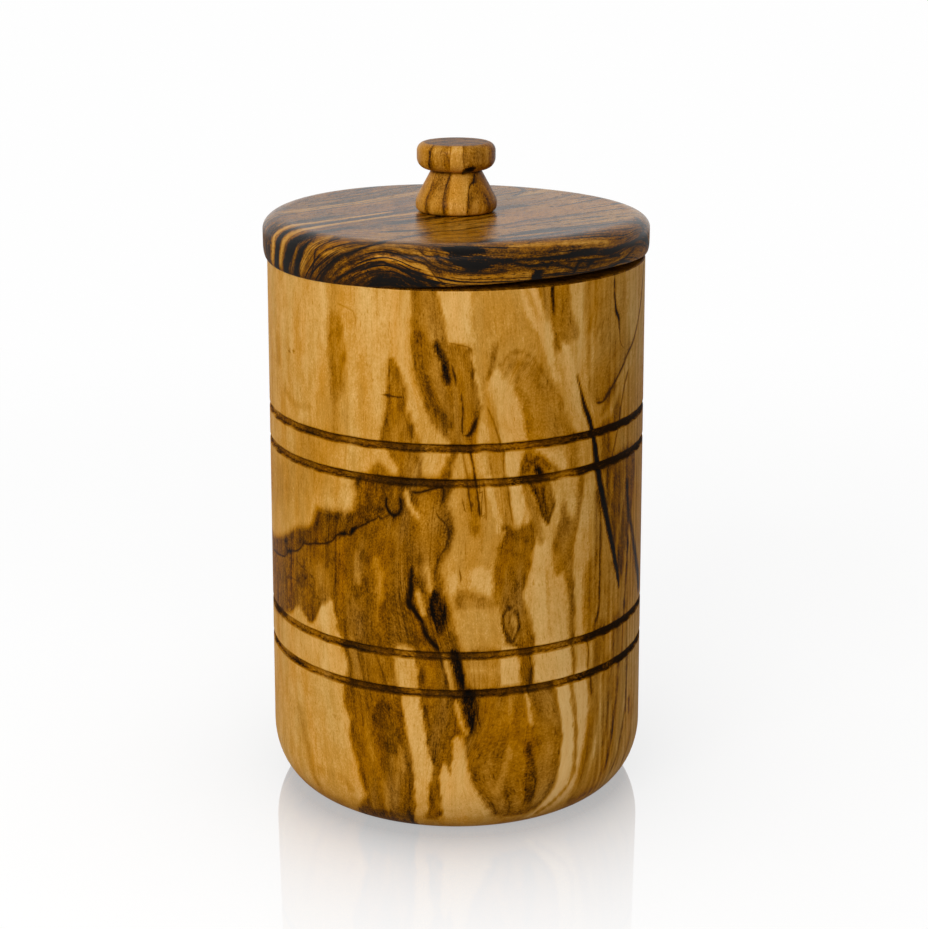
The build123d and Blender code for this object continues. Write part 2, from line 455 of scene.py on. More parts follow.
JAR_TOP_MARKS = (
    stain(0.42, 3.6, 2.2, (-29.5, 136), (-29, 116), (-30, 98)),
    Patch(0.46, 1.2, ((-31, 126), (-28, 127), (-26.3, 117), (-27, 110), (-30, 107), (-31.3, 115))),
    stain(0.42, 2.0, 1.6, (-53, 117), (-53, 112)),
    stain(0.4, 1.0, 1.0, (-49, 106), (-44, 103.5), (-38, 104)),
    line(0.5, 0.3, (-28.5, 129.5), (-24, 128), (-23.5, 124.5)),
    line(0.6, 0.7, (-46.6, 115.5), (-45.8, 115.4)),
    line(0.6, 0.7, (-44.6, 116), (-43.8, 116)),
    stain(0.42, 5.0, 1.6, (-40, 97), (-39, 91)),
    Patch(0.52, 0.5, ((-17, 98), (-16.5, 105), (-15.8, 110), (-15.5, 116), (-15, 118.3), (-13.8, 118),
        (-11.3, 113), (-11, 108), (-9.5, 103.5), (-8.2, 98))),
    line(0.85, 0.5, (-17, 110), (-12, 109.7)),
    line(0.7, 0.3, (-12.5, 108), (-9.5, 100)),
    Patch(0.52, 0.6, ((-15.5, 98.5), (-8.5, 98.5), (-7.6, 95), (-7.3, 90), (-12, 90), (-13.5, 94),
        (-15, 96))),
    Patch(0.5, 0.7, ((-19.5, 90.5), (-19, 93.5), (-17.8, 94.3), (-16, 92.8), (-15, 90.5))),
    Patch(0.51, 0.5, ((-9.7, 136), (-9.6, 118), (-9.3, 115.5), (-6.5, 106.5), (-4.2, 102.8), (-1.5, 100),
        (-0.7, 98), (4.6, 98), (5.2, 104.5), (5.8, 108.5), (5.2, 112), (3.5, 119.5), (3.3, 121.3),
        (0, 122.2), (-1.8, 122.7), (-2.2, 126), (-3.2, 130), (-4.6, 136))),
    stain(0.7, 2.0, 1.4, (-8.6, 124), (-7.6, 116), (-5, 109), (-1.6, 104)),
    line(0.75, 0.35, (-1.8, 122.6), (0, 122.1), (3.3, 121.2), (3.7, 119)),
    stain(0.96, 1.5, 0.5, (-4.2, 122), (-2.7, 118.5), (-1.8, 114)),
    line(0.95, 0.55, (-0.8, 117.5), (-0.2, 115), (0, 113)),
    line(0.9, 0.5, (1.2, 111), (1.6, 107), (1.4, 103), (1.6, 101.5)),
    line(0.95, 0.8, (4.8, 105.3), (4, 103.5), (3.2, 101.6), (2, 101.4)),
    line(0.8, 0.35, (3.4, 119), (3.9, 114)),
    stain(0.22, 0.7, 0.3, (3.7, 120), (5, 114), (5.8, 109)),
    Patch(0.23, 0.5, ((-3.2, 136), (4.3, 136), (4.1, 130), (3.4, 122.4), (0, 122.8), (-1.6, 123.2),
        (-2, 126.5))),
    Patch(0.38, 0.9, ((4.3, 136), (15, 136), (18.5, 126), (20, 121), (23, 113), (16, 117), (8.8, 114),
        (7.3, 113), (8.3, 109), (9.5, 104), (10.3, 98), (7.6, 98), (6.8, 106), (5.9, 112), (4.2, 120))),
    stain(0.64, 0.9, 0.7, (8.8, 122), (8.4, 118.5), (7.2, 114.5)),
    stain(0.24, 1.7, 0.6, (14.3, 136), (16.5, 129), (19, 125), (21.5, 120), (23.3, 113.5)),
    Patch(0.24, 0.4, ((5, 98), (5.2, 102.5), (6, 104.2), (7.4, 102), (8, 98))),
    line(0.75, 0.4, (7, 108), (9, 103), (10.3, 98.5)),
    Patch(0.44, 1.0, ((16.3, 98), (15.8, 103), (15, 108), (13, 113), (14, 118), (20, 116), (23.8, 111),
        (26, 106), (28, 98))),
    Patch(0.21, 0.5, ((7.6, 113.5), (8.5, 110), (9.8, 105), (10.6, 98), (16.1, 98), (15.8, 102),
        (14.5, 107.5), (12.5, 112), (9.7, 116.5))),
    stain(0.6, 0.5, 0.5, (9.9, 117), (13, 119.8), (17, 118.8), (20, 115), (22, 112)),
    stain(0.55, 1.6, 1.0, (11, 115), (13, 117), (16, 116.3), (19, 112.5), (21, 108), strength=0.5),
    stain(0.36, 0.8, 0.6, (14, 112.5), (16.5, 110.5), (18.4, 106), (19.2, 101), strength=0.6),
    stain(0.23, 1.7, 0.6, (16.8, 136), (21, 127), (23, 120), (24, 113)),
    Patch(0.49, 0.8, ((19, 136), (27, 136), (27.6, 128), (30, 122.5), (27, 120.6), (23.6, 119),
        (22.4, 125), (21, 127), (19.8, 131))),
    stain(0.93, 0.8, 0.35, (22.5, 136), (22.6, 131), (23, 127, 0.3)),
    stain(0.6, 0.3, 0.5, (23, 127), (23.7, 115.5)),
    Patch(0.25, 1.0, ((27.6, 136), (33.5, 136), (33, 124), (31.6, 122.4), (28.4, 128))),
    Patch(0.4, 1.0, ((33, 136), (49, 136), (52, 124), (51, 116), (46, 112), (40, 106.5), (36, 104.8),
        (33, 110), (32.2, 120))),
    stain(0.56, 1.6, 1.0, (37, 128), (38, 118), (40, 110), strength=0.4),
    stain(0.3, 2.4, 1.2, (33.6, 121), (34.6, 117), (34, 113)),
    stain(0.44, 1.6, 1.0, (40, 130), (40.6, 121), (43, 113)),
    Patch(0.2, 0.5, ((24.8, 121), (26.2, 116), (28.8, 104), (29.6, 98), (33.3, 98), (32.5, 101),
        (31, 106), (29.3, 113.5), (27, 120))),
    Patch(0.46, 0.8, ((37, 98), (37, 101), (40, 107.5), (44, 108.5), (45, 104), (44, 98))),
    stain(0.27, 2.2, 0.7, (33.5, 102.5), (36, 101), (40, 101.5), (43, 105), (50, 112.8), (54, 116),
        (60, 122), (66, 129)),
    line(0.85, 0.7, (35.8, 105.5), (38, 105.2), (40, 106.8), (45.5, 111.2), (49, 114.5), (52, 116.5),
        (56, 121), (59.5, 127), (62, 134)),
    line(0.8, 0.6, (44.8, 98), (46, 103), (47.5, 107.5), (49.5, 110.5)),
    line(0.97, 0.5, (42.2, 136), (42.1, 131, 0.6), (42.5, 127.5, 0.7), (43, 125.5, 0.9), (44, 123.8, 0.9),
        (44.5, 121.5, 0.5), (45, 118, 0.3), (47, 116, 0.3)),
    Patch(0.22, 1.4, ((48, 136), (55, 136), (55, 124), (53, 118), (50, 117), (48.5, 124))),
    Patch(0.24, 0.5, ((-7, 98.5), (-3.6, 98.5), (-3.5, 90), (-7, 90))),
    Patch(0.55, 0.4, ((-0.8, 98), (-2.5, 94), (-3.9, 90), (-1.7, 90), (-0.2, 95), (0.5, 98))),
    line(0.6, 0.5, (1.5, 98), (2.8, 90.5)),
    line(0.95, 0.6, (3.2, 98), (4, 94), (4.4, 90.5)),
    stain(0.42, 3.5, 0.8, (8.8, 98), (9, 90)),
    line(0.75, 0.4, (10.9, 98), (10.9, 90)),
    stain(0.19, 3.6, 0.6, (13, 99), (13.2, 90)),
    Patch(0.5, 0.7, ((15, 90), (15.3, 95), (17, 97.5), (21, 97), (24.5, 92), (25, 90))),
    stain(0.22, 2.0, 0.5, (18.5, 98), (22, 95.5), (25, 92.8), (28, 90.5)),
    stain(0.97, 1.5, 0.5, (18.9, 92.6), (19.6, 91.6)),
    stain(0.8, 0.7, 0.6, (17.4, 94.4), (19.4, 95), (22, 92.6)),
    stain(0.74, 0.7, 0.6, (16.2, 91), (16.8, 93.4), (18.4, 94)),
    stain(0.48, 3.0, 1.0, (28, 99), (29, 90)),
    stain(0.24, 1.3, 0.5, (31.4, 99), (32.2, 90)),
    stain(0.5, 4.0, 1.0, (39.4, 99), (40, 90)),
    line(0.8, 0.5, (42, 91), (45, 99)),
)


JAR_MIDDLE_MARKS = (
    stain(0.38, 13.0, 5.0, (-66, 80), (-46, 85), (-36, 91), strength=0.9),
    Patch(0.63, 1.3, ((-70, 66), (-60, 66.5), (-52, 69), (-43, 74), (-38.5, 75.2), (-36.8, 77.5),
        (-35.5, 80.3), (-29, 81), (-25, 82), (-23.5, 86), (-22.4, 91), (-1.5, 91), (-1.8, 86), (-0.5, 82),
        (-0.3, 78.5), (-1.2, 75), (-3.4, 69), (-1, 60), (-0.5, 56), (0, 49), (-27, 48), (-50, 48),
        (-70, 49))),
    Patch(0.66, 0.7, ((-60, 66), (-52, 68.4), (-43, 73), (-38.3, 74.4), (-36, 77), (-34.5, 79.6),
        (-29, 80), (-25, 81), (-22, 84), (-18, 83), (-19.5, 80.3), (-27, 76), (-33, 72.3), (-41, 70.3),
        (-46.5, 66.8), (-53, 63.7), (-62, 62.5))),
    Patch(0.62, 1.6, ((-50, 60), (-36, 60), (-36.4, 53), (-40, 51), (-49, 53))),
    line(0.95, 0.45, (-62, 62.5), (-53, 63.7), (-50, 64.8), (-48.5, 66.3), (-46.5, 66.8), (-43, 68.3),
        (-41, 70.3), (-39, 70.7), (-36.5, 71.5), (-33, 72.3), (-30.5, 73.8), (-29, 75.3), (-27, 76),
        (-25.5, 75.8), (-24.8, 77.5), (-23.8, 77.9), (-19.5, 80.3), (-18, 81.4)),
    stain(0.97, 0.9, 0.35, (-28.5, 75.3), (-27, 76.1)),
    stain(0.97, 0.9, 0.35, (-25.2, 76.4), (-24.1, 77.9)),
    stain(0.9, 0.6, 0.35, (-48.2, 66.4), (-47, 66.8)),
    line(0.8, 0.35, (-44, 65), (-39.5, 63.6)),
    stain(0.78, 1.6, 0.9, (-41.8, 62), (-40.6, 62)),
    line(0.8, 0.35, (-39, 63.5), (-37.2, 62.5), (-36.8, 60.5)),
    line(0.75, 0.35, (-51, 59), (-47, 60), (-44.5, 60.2), (-42.5, 61.5)),
    Patch(0.5, 1.4, ((-38, 60), (-38, 66), (-34, 68), (-31, 66), (-31.4, 60.5))),
    Patch(0.22, 0.45, ((-38.7, 49), (-36.5, 53), (-34.8, 56.3), (-32.5, 58), (-31.8, 59.5), (-30.5, 57),
        (-29.6, 52), (-28.7, 49))),
    Patch(0.26, 0.45, ((-48.4, 49.6), (-46.5, 51.8), (-43.8, 53.9), (-42, 53), (-40.2, 52),
        (-39.6, 49.6))),
    stain(0.48, 4.0, 2.0, (-13.6, 78), (-13.4, 67), strength=0.6),
    stain(0.44, 1.8, 0.9, (-18.3, 71), (-17.5, 62)),
    stain(0.48, 1.2, 0.9, (-24, 72), (-23.5, 65)),
    Patch(0.51, 1.2, ((-9.6, 87.4), (-3.6, 87.8), (-2.6, 77), (-4.4, 71), (-5.2, 66), (-8, 68),
        (-9, 75))),
    stain(0.26, 1.0, 0.5, (-6.5, 70.5), (-5.5, 64)),
    Patch(0.66, 1.2, ((-21, 84), (-20.5, 89.5), (-10.5, 89.5), (-10, 84), (-15, 81.6))),
    line(0.97, 0.7, (-16.2, 86.5), (-16, 84), (-15, 82.5), (-13.8, 82.1), (-12.8, 83), (-12.5, 85),
        (-12.9, 86.5)),
    line(0.9, 0.45, (-18.3, 82), (-17.5, 81), (-16.5, 81.3), (-15.3, 82.3)),
    stain(0.25, 1.2, 0.4, (-11.3, 88), (-10.5, 85), (-8.5, 82)),
    line(0.95, 0.55, (-10, 88), (-8, 88), (-4, 89.3), (-2.8, 89), (-2.8, 87), (-3.3, 85.5)),
    line(0.85, 0.4, (-4.5, 84), (-4, 82.5), (-2.5, 81), (-1.6, 79.5), (-1.6, 77.5), (-2.5, 75),
        (-3.8, 72.5), (-4.6, 69.5), (-4.9, 67)),
    line(0.97, 1.0, (-10.1, 70.5, 0.6), (-10.3, 67, 0.8), (-10.3, 64.5, 1.1), (-10.8, 61.5, 1.2),
        (-9.8, 60), (-8.6, 58.5), (-7.4, 56.5, 0.8), (-7, 54.5), (-6, 52.8), (-4.8, 51.5), (-4, 50)),
    stain(0.74, 0.7, 0.4, (-9.8, 70), (-9.2, 67.5), (-6.9, 64), (-6.3, 62.5)),
    stain(0.27, 1.2, 0.5, (-8.8, 64), (-7.4, 59)),
    Patch(0.82, 0.5, ((-4.8, 65), (-2.4, 61), (-2.5, 55.5), (-3.8, 54.3), (-4.8, 56), (-6, 59),
        (-6.3, 61.5))),
    Patch(0.34, 0.8, ((0, 91), (12, 91), (11.5, 80), (9.4, 71), (4.2, 70), (-1.2, 69.5), (0.2, 76),
        (0.2, 82))),
    line(0.9, 0.35, (1.4, 87), (2, 84), (2.3, 83.5)),
    stain(0.56, 2.4, 1.0, (3.4, 91), (4.6, 79), strength=0.7),
    line(0.85, 0.5, (2.6, 90.5), (3.6, 83)),
    line(0.75, 0.4, (6.3, 90.5), (7, 81.5)),
    line(0.6, 0.3, (2.2, 77), (2.3, 72)),
    line(0.9, 0.4, (0.9, 70), (1.1, 68), (1, 66.5)),
    line(0.9, 0.6, (4.5, 91), (5.5, 82)),
    stain(0.42, 0.7, 0.5, (5.5, 83), (5.8, 75)),
    stain(0.2, 1.7, 0.4, (7.1, 91), (9.5, 82), (9.8, 79)),
    stain(0.42, 2.0, 0.6, (10.8, 91), (11.5, 85), (11.8, 79)),
    line(0.75, 0.35, (11.8, 90.5), (12.3, 85), (13, 80)),
    Patch(0.17, 0.35, ((12.5, 91), (12.6, 87), (13.2, 83), (14.5, 79), (15.3, 80.5), (16, 84),
        (15.6, 87.5), (14.9, 91))),
    stain(0.5, 2.2, 0.6, (16, 91), (17, 86), (18.5, 82), (19.5, 78)),
    Patch(0.53, 0.7, ((9, 71), (9.3, 66), (10.5, 62), (10.2, 58), (11, 54), (12.5, 49), (18.8, 49),
        (17.2, 58), (16, 62), (16.2, 64), (17.8, 72), (18.6, 76), (17.7, 80), (14, 79), (11.5, 79))),
    stain(0.54, 2.6, 1.0, (9.8, 69), (9.8, 62), strength=0.8),
    stain(0.68, 1.2, 0.8, (11.4, 79.4), (13.6, 77.2), (16.6, 76)),
    stain(0.64, 0.8, 0.6, (10, 75), (12.6, 73.4), (15.6, 72.4)),
    stain(0.7, 0.6, 0.5, (17.4, 80), (18.5, 75)),
    stain(0.62, 1.4, 0.8, (12.6, 70), (13.6, 66), (13, 61)),
    Patch(0.2, 0.45, ((4, 70), (7.2, 70), (8, 67), (8.3, 64.5), (7.5, 63.3), (5.5, 65), (4, 67))),
    Patch(0.45, 0.9, ((0.4, 65), (5, 64), (8, 62.4), (8, 60), (0.4, 60))),
    Patch(0.32, 0.8, ((1.2, 60), (8.6, 59.5), (9.6, 54), (9, 50.5), (1.4, 51))),
    Patch(0.42, 0.4, ((12, 59.2), (13.6, 58.6), (14.3, 55.6), (13.8, 52.8), (12.4, 54), (11.4, 57))),
    stain(0.27, 0.5, 0.3, (13.4, 58), (13.7, 55.4)),
    stain(0.84, 0.5, 0.35, (13.6, 52.4), (14.6, 55), (14.5, 57.8), (13.2, 59.8), (11.6, 59.6),
        (10.8, 57.4), (11.3, 54.4), (12.8, 52, 0.9), (14.6, 50.4)),
    stain(0.75, 0.4, 0.35, (12.2, 58), (12.5, 55.6), (13, 53.6)),
    Patch(0.2, 0.6, ((18.9, 77), (18.2, 72), (17.5, 68), (16, 64), (15.7, 62), (17.3, 58), (18.7, 53),
        (19.2, 49), (28.2, 49), (28, 54), (27.3, 60), (26.7, 65), (25.5, 67), (24, 66), (23.2, 68.5),
        (22.2, 72.5), (20.8, 76.5))),
    stain(0.3, 0.7, 0.5, (21.6, 68), (22.6, 52)),
    Patch(0.56, 0.6, ((17, 90.5), (23, 90.5), (23.6, 85), (22.6, 81.5), (21.8, 79.5), (20.3, 81.5),
        (18.8, 86))),
    stain(0.84, 0.6, 0.4, (17, 90), (19.5, 84.5), (20.3, 81.5), (21.8, 79.5)),
    stain(0.84, 0.5, 0.4, (23, 88.5), (23.6, 84.5), (21.8, 79.5)),
    stain(0.86, 0.5, 0.4, (20.4, 88), (20.8, 85), (21.6, 82)),
    stain(0.25, 1.1, 0.4, (20.2, 79.8), (23.8, 73.6)),
    stain(0.24, 1.0, 0.4, (22.8, 89.5), (24.2, 84.5), (24.6, 80), (23.9, 74)),
    stain(0.5, 1.6, 0.6, (18.1, 80.5), (20, 75.5)),
    Patch(0.5, 0.8, ((24.9, 79.4), (26, 84), (28, 79), (31, 80), (29.6, 73), (29.2, 67), (29.8, 58),
        (29.6, 49), (28, 50), (27.6, 60), (26, 66.5), (24.2, 66.6), (23, 73))),
    Patch(0.22, 0.45, ((25.5, 90.5), (29.9, 90.5), (30, 86), (29.3, 82), (28.3, 80.2), (27.3, 82),
        (26.3, 86))),
    stain(0.5, 2.0, 0.6, (31.3, 90), (30.4, 78)),
    Patch(0.18, 0.5, ((32.6, 91), (31.8, 84), (29.4, 73), (29, 69), (29.7, 56.5), (29.8, 49), (32.5, 49),
        (32, 56.5), (32, 64.8), (33.5, 66), (34.1, 69), (35.1, 73), (35.4, 79.4), (34.4, 91))),
    stain(0.4, 3.6, 0.9, (34.4, 66), (34.2, 49)),
    stain(0.43, 1.6, 0.8, (36, 84), (36.4, 74), (36, 66)),
    stain(0.8, 0.6, 0.45, (36.5, 84, 0.3), (37.4, 80), (37.8, 75), (37.6, 58), (37.2, 54, 0.9),
        (35.8, 50.6, 1.0)),
    Patch(0.54, 1.2, ((42, 91), (54, 91), (54, 80), (50, 68), (46.6, 60), (44, 66), (41.5, 76),
        (39.6, 84))),
    stain(0.36, 1.4, 0.8, (47, 91), (47.5, 82), (46.5, 76), (44.8, 70), (44, 66)),
    stain(0.38, 1.0, 0.7, (42.5, 91), (41.5, 79)),
    stain(0.38, 1.6, 0.8, (42.2, 65), (41, 49)),
    stain(0.76, 0.9, 0.5, (50.8, 69), (49.2, 54), (49, 49)),
    stain(0.38, 1.6, 0.8, (51.5, 50), (52, 60), (53, 67), (55, 62), (56, 56)),
    stain(0.84, 1.2, 0.8, (49.3, 83.5), (51, 76, 1.4), (57.5, 61, 2.6), (60, 57, 3.0), (61.5, 53, 3.0)),
)


JAR_CRACK = (
    stain(0.99, 1.5, 0.35, (29.5, 113, 0.3), (30.7, 109, 0.5), (31.8, 105.5, 1.1), (33.2, 102.5, 1.2),
        (34.3, 99.5, 1.1), (35.3, 95.5, 1.5), (36.8, 88, 1.9), (41.2, 73.5, 1.7), (44.4, 64, 1.3),
        (45.6, 60, 1.0), (46, 58.2, 0.5)),
)


JAR_LOWER_GROOVE_MARKS = (
    Patch(0.24, 0.7, ((-50.5, 50), (-27.6, 50), (-26.5, 44), (-26, 39), (-50, 39))),
    Patch(0.55, 0.7, ((-27.6, 50), (-14.2, 50), (-13, 39), (-26, 39), (-26.5, 44))),
    line(0.75, 0.4, (-24, 49), (-22, 40)),
    line(0.75, 0.4, (-19.5, 49), (-17, 43), (-16.2, 39.5)),
    Patch(0.25, 0.5, ((-14.2, 50), (-9.3, 50), (-8.6, 44), (-8.2, 39), (-13, 39))),
    Patch(0.58, 0.5, ((-9.3, 50), (-3, 50), (-2, 44), (-0.8, 39), (-8.2, 39), (-8.6, 44))),
    line(0.8, 0.35, (-7.8, 46.5), (-7.3, 41.5)),
    line(0.8, 0.4, (-3.5, 48.6), (-1.7, 41.5)),
    stain(0.26, 0.8, 0.35, (-2.8, 49), (-0.8, 40)),
    Patch(0.76, 1.0, ((-1.6, 50), (1, 50), (2.2, 45), (3, 39), (0.6, 39), (-0.6, 44))),
    Patch(0.95, 0.4, ((-1.1, 50), (0.4, 50), (1.4, 45), (2.2, 42), (2.3, 39), (1, 39), (0.2, 43.5),
        (-0.6, 46))),
    Patch(0.42, 0.6, ((2.4, 50), (10.2, 50), (10.6, 39), (2.8, 39), (2.4, 44))),
    stain(0.3, 1.6, 0.9, (3.6, 45.5), (9, 45)),
    Patch(0.18, 0.5, ((10.3, 50), (14.3, 50), (15, 45), (15.3, 39), (10.8, 39))),
    stain(0.6, 3.4, 0.7, (16.4, 50), (17, 39)),
    line(0.85, 0.6, (17.8, 45), (17, 38)),
    stain(0.95, 0.9, 0.35, (15.2, 39.8), (17.2, 40), (19.4, 39.8)),
    Patch(0.16, 0.6, ((19.4, 50), (28, 50), (29, 45), (28.8, 39), (19.6, 39))),
    stain(0.58, 0.7, 0.4, (28.2, 50), (29.3, 45), (29.2, 39)),
    stain(0.2, 2.6, 0.5, (31.2, 50), (31.7, 45), (31.8, 39)),
    line(0.85, 0.45, (33.2, 49.5), (34, 45), (33.8, 40.5)),
    stain(0.5, 5.0, 1.2, (38, 50), (38, 39)),
    stain(0.52, 4.0, 1.2, (45, 50), (45, 39)),
    line(0.85, 0.5, (48.3, 49.5), (48, 40)),
    stain(0.38, 2.6, 0.7, (50.5, 50), (50.3, 39)),
)


JAR_LOW_MARKS = (
    stain(0.42, 1.5, 1.0, (-44, 28), (-42, 22), (-40, 17), (-39, 12), (-38, 9)),
    stain(0.38, 1.2, 1.0, (-40, 13), (-34, 15), (-29, 14.5), (-26, 12)),
    Patch(0.59, 0.7, ((-26.6, 40), (-27.8, 35.5), (-27.5, 33), (-26, 30.3), (-26.3, 27), (-25.8, 23.5),
        (-24.3, 20), (-23.6, 16.5), (-22.3, 12.5), (-22.3, 11), (-26, 6), (-26, -3), (-11, -3),
        (-10.5, 5), (-9.5, 10), (-10, 22), (-12, 33), (-12.8, 40))),
    Patch(0.66, 1.4, ((-19, 36), (-13, 35), (-12, 28), (-13, 24), (-17, 24), (-20, 29))),
    stain(0.46, 0.9, 0.8, (-22, 30), (-21, 25), (-17, 15), (-16.5, 10), (-17.5, 6)),
    stain(0.46, 0.7, 0.6, (-13.3, 25.5), (-12.3, 20)),
    stain(0.72, 1.4, 0.9, (-11.4, 10), (-11, 5)),
    Patch(0.22, 0.45, ((-12.8, 40), (-12, 33), (-10, 22), (-9.5, 10), (-10.4, 4), (-7.4, 6.4), (-7, 7.3),
        (-8, 8.5), (-7, 11), (-6.5, 14), (-6.8, 17), (-5.5, 21), (-6.5, 24), (-7.5, 33), (-8.2, 40))),
    Patch(0.57, 0.4, ((-8.1, 40), (-0.8, 40), (0.3, 33), (1.3, 29), (-0.5, 28.5), (-0.9, 26), (-0.9, 22),
        (-1, 19), (-2.2, 21.5), (-3, 22.3), (-3.8, 19), (-3.4, 13), (-3, 9.5), (-4, 7.5), (-6, 6.8),
        (-7.8, 7.2), (-6.9, 9), (-6.4, 12), (-6.5, 15), (-5.6, 18.5), (-5.2, 21.5), (-6.5, 25),
        (-7, 30))),
    line(0.8, 0.4, (-7.6, 37), (-6.6, 34), (-6, 31)),
    stain(0.64, 1.4, 0.8, (-2.4, 26.5), (-2, 22.5)),
    Patch(0.21, 0.4, ((-3.2, 9), (-3.4, 13), (-3.7, 17), (-3.2, 21.6), (-2.5, 22.2), (-1.2, 19),
        (-0.6, 27.4), (0, 28.9), (0.8, 28.5), (1.8, 25), (3, 19), (6, 12.5), (9.8, 7.5), (11, 5.5),
        (8, 3), (0, 3))),
    Patch(0.55, 0.6, ((0.5, 40), (1.3, 30), (2, 27), (3.2, 19), (6.3, 12.3), (10.5, 7.5), (18, 7),
        (22.5, 10.5), (24.8, 17), (26, 27), (24.6, 35), (24.2, 40))),
    Patch(0.48, 1.0, ((19.4, 38), (24, 38), (25.2, 30), (25, 22), (23.4, 15), (19.4, 12), (19.6, 20))),
    stain(0.6, 1.6, 0.9, (9, 8.6), (14, 7.9), (19, 8.6)),
    stain(0.56, 1.0, 0.8, (8, 36), (8.4, 28), (7.4, 20)),
    stain(0.4, 1.4, 0.9, (12.5, 38), (12.8, 30), (12, 22), (9.5, 15)),
    Patch(0.74, 1.4, ((0.8, 40), (4.8, 40), (4.8, 31), (3.6, 29), (2.3, 32))),
    Patch(0.96, 0.5, ((1.6, 40), (4.1, 40), (4, 36), (4, 31), (3.5, 30.5), (2.9, 33), (2.1, 36))),
    line(0.9, 0.4, (4.6, 38), (5, 34), (5.6, 31)),
    stain(0.25, 0.8, 0.35, (0, 38), (1, 33), (2.3, 30)),
    stain(0.8, 1.0, 0.6, (4.4, 26.5), (4.9, 26.5)),
    stain(0.24, 1.1, 0.4, (16.5, 39), (17.8, 31)),
    Patch(0.7, 1.0, ((17, 26), (19.3, 17), (19, 13), (18, 10.2), (16.4, 11.5), (16.4, 17), (16.8, 21))),
    stain(0.86, 0.7, 0.6, (17.4, 24), (18.6, 19), (18.8, 15), (18.2, 11.4)),
    stain(0.8, 0.6, 0.5, (17, 17), (17, 14), (17.4, 11.4)),
    stain(0.78, 0.6, 0.5, (11.5, 15.4), (12.3, 10.4)),
    stain(0.66, 0.5, 0.5, (12.8, 15), (13, 12)),
    Patch(0.09, 0.45, ((24.3, 41), (24.9, 35), (25.9, 30), (26.3, 26), (25.3, 17), (24.5, 13.5),
        (20.5, 7.5), (17.6, 5.4), (20, 4.6), (22.5, 7.3), (25.5, 10), (27.5, 12.5), (28.7, 16),
        (29.5, 25), (28.4, 34), (27.7, 41))),
    Patch(0.11, 0.6, ((29.6, 41), (29.9, 34), (30.6, 29), (30.4, 18), (29.2, 14), (27.4, 11.3), (24, 8),
        (21, 5.6), (24, 5), (28.8, 10.5), (30.3, 13), (31.2, 17), (34.2, 31), (34.2, 35), (33.5, 41))),
    stain(0.46, 0.8, 0.35, (28.4, 40), (30.1, 29), (30, 18), (28.8, 14), (27, 11.3), (24, 8.3),
        (21, 6.2)),
    Patch(0.4, 0.9, ((34.4, 41), (50, 41), (49, 28), (46, 18), (42, 9), (30, 6), (31.6, 13), (33.6, 22),
        (35.2, 30))),
    stain(0.52, 2.4, 1.0, (35.8, 38), (35.2, 28), (33.9, 20), (32.2, 14), strength=0.7),
    line(0.85, 0.5, (34.8, 39.4), (35.2, 33.5)),
    stain(0.25, 1.0, 0.5, (38.8, 38.5), (38, 33), (38.3, 29), (37.8, 25), (35, 15)),
    stain(0.6, 1.0, 0.8, (42.6, 38), (42, 30), (40, 20)),
    stain(0.66, 1.1, 0.5, (46.3, 39.5), (46, 34), (45, 28), (40.5, 11)),
    stain(0.36, 2.2, 0.6, (48.6, 40), (48.5, 33), (47.8, 28), (44, 16.5), (40.6, 9)),
    stain(0.68, 0.8, 0.5, (50.6, 26), (48.5, 20), (44.2, 10)),
    stain(0.38, 1.2, 0.6, (51, 22.5), (49, 17), (46.3, 11)),
    stain(0.68, 0.9, 0.5, (51.6, 39), (50.6, 24)),
    stain(0.72, 1.2, 0.8, (53, 26.5), (53, 23.5)),
    stain(0.68, 1.0, 0.6, (56, 23), (54, 16), (51, 11)),
    stain(0.38, 1.6, 0.9, (57, 26), (55, 20), (52, 14)),
)


def back_marks() -> tuple[Patch | Streak, ...]:
    """The same kinds of figure for the jar's back, which the picture doesn't show.

    Each band wanders up the jar at its own seeded places: a patch of heartwood, with a dark
    line along part of its right edge, and a pale and a short dark stain along its left.

    Returns:
        The marks of the back.
    """
    bands, knots = 7, 9
    rng = np.random.default_rng(12)
    height = np.linspace(-8.0, 142.0, knots)
    marks = [Patch(0.44, 3.0, ((66, 140), (84, 140), (92, 96), (98, 44), (84, -5), (66, -5)))]
    for middle in np.linspace(86.0, 212.0, bands):
        bend = middle + np.cumsum(rng.uniform(-3.0, 3.0, knots))
        half = rng.uniform(0.5, 6.5, knots)
        right = tuple(zip(bend + half, height))
        left = tuple(zip(bend - half, height))
        first = rng.integers(0, 4)
        marks.append(Patch(rng.uniform(0.46, 0.6), 1.0, right + left[::-1]))
        marks.append(stain(0.24, 2.0, 0.8, *left))
        marks.append(line(0.88, 0.5, *right[first: first + 4]))
        marks.append(stain(0.9, 1.6, 1.3, *left[first + 1: first + 4]))
    return tuple(marks)


JAR_MARKS = (
    JAR_TOP_MARKS
    + JAR_MIDDLE_MARKS
    + JAR_LOWER_GROOVE_MARKS
    + JAR_LOW_MARKS
    + back_marks()
    + JAR_CRACK
)

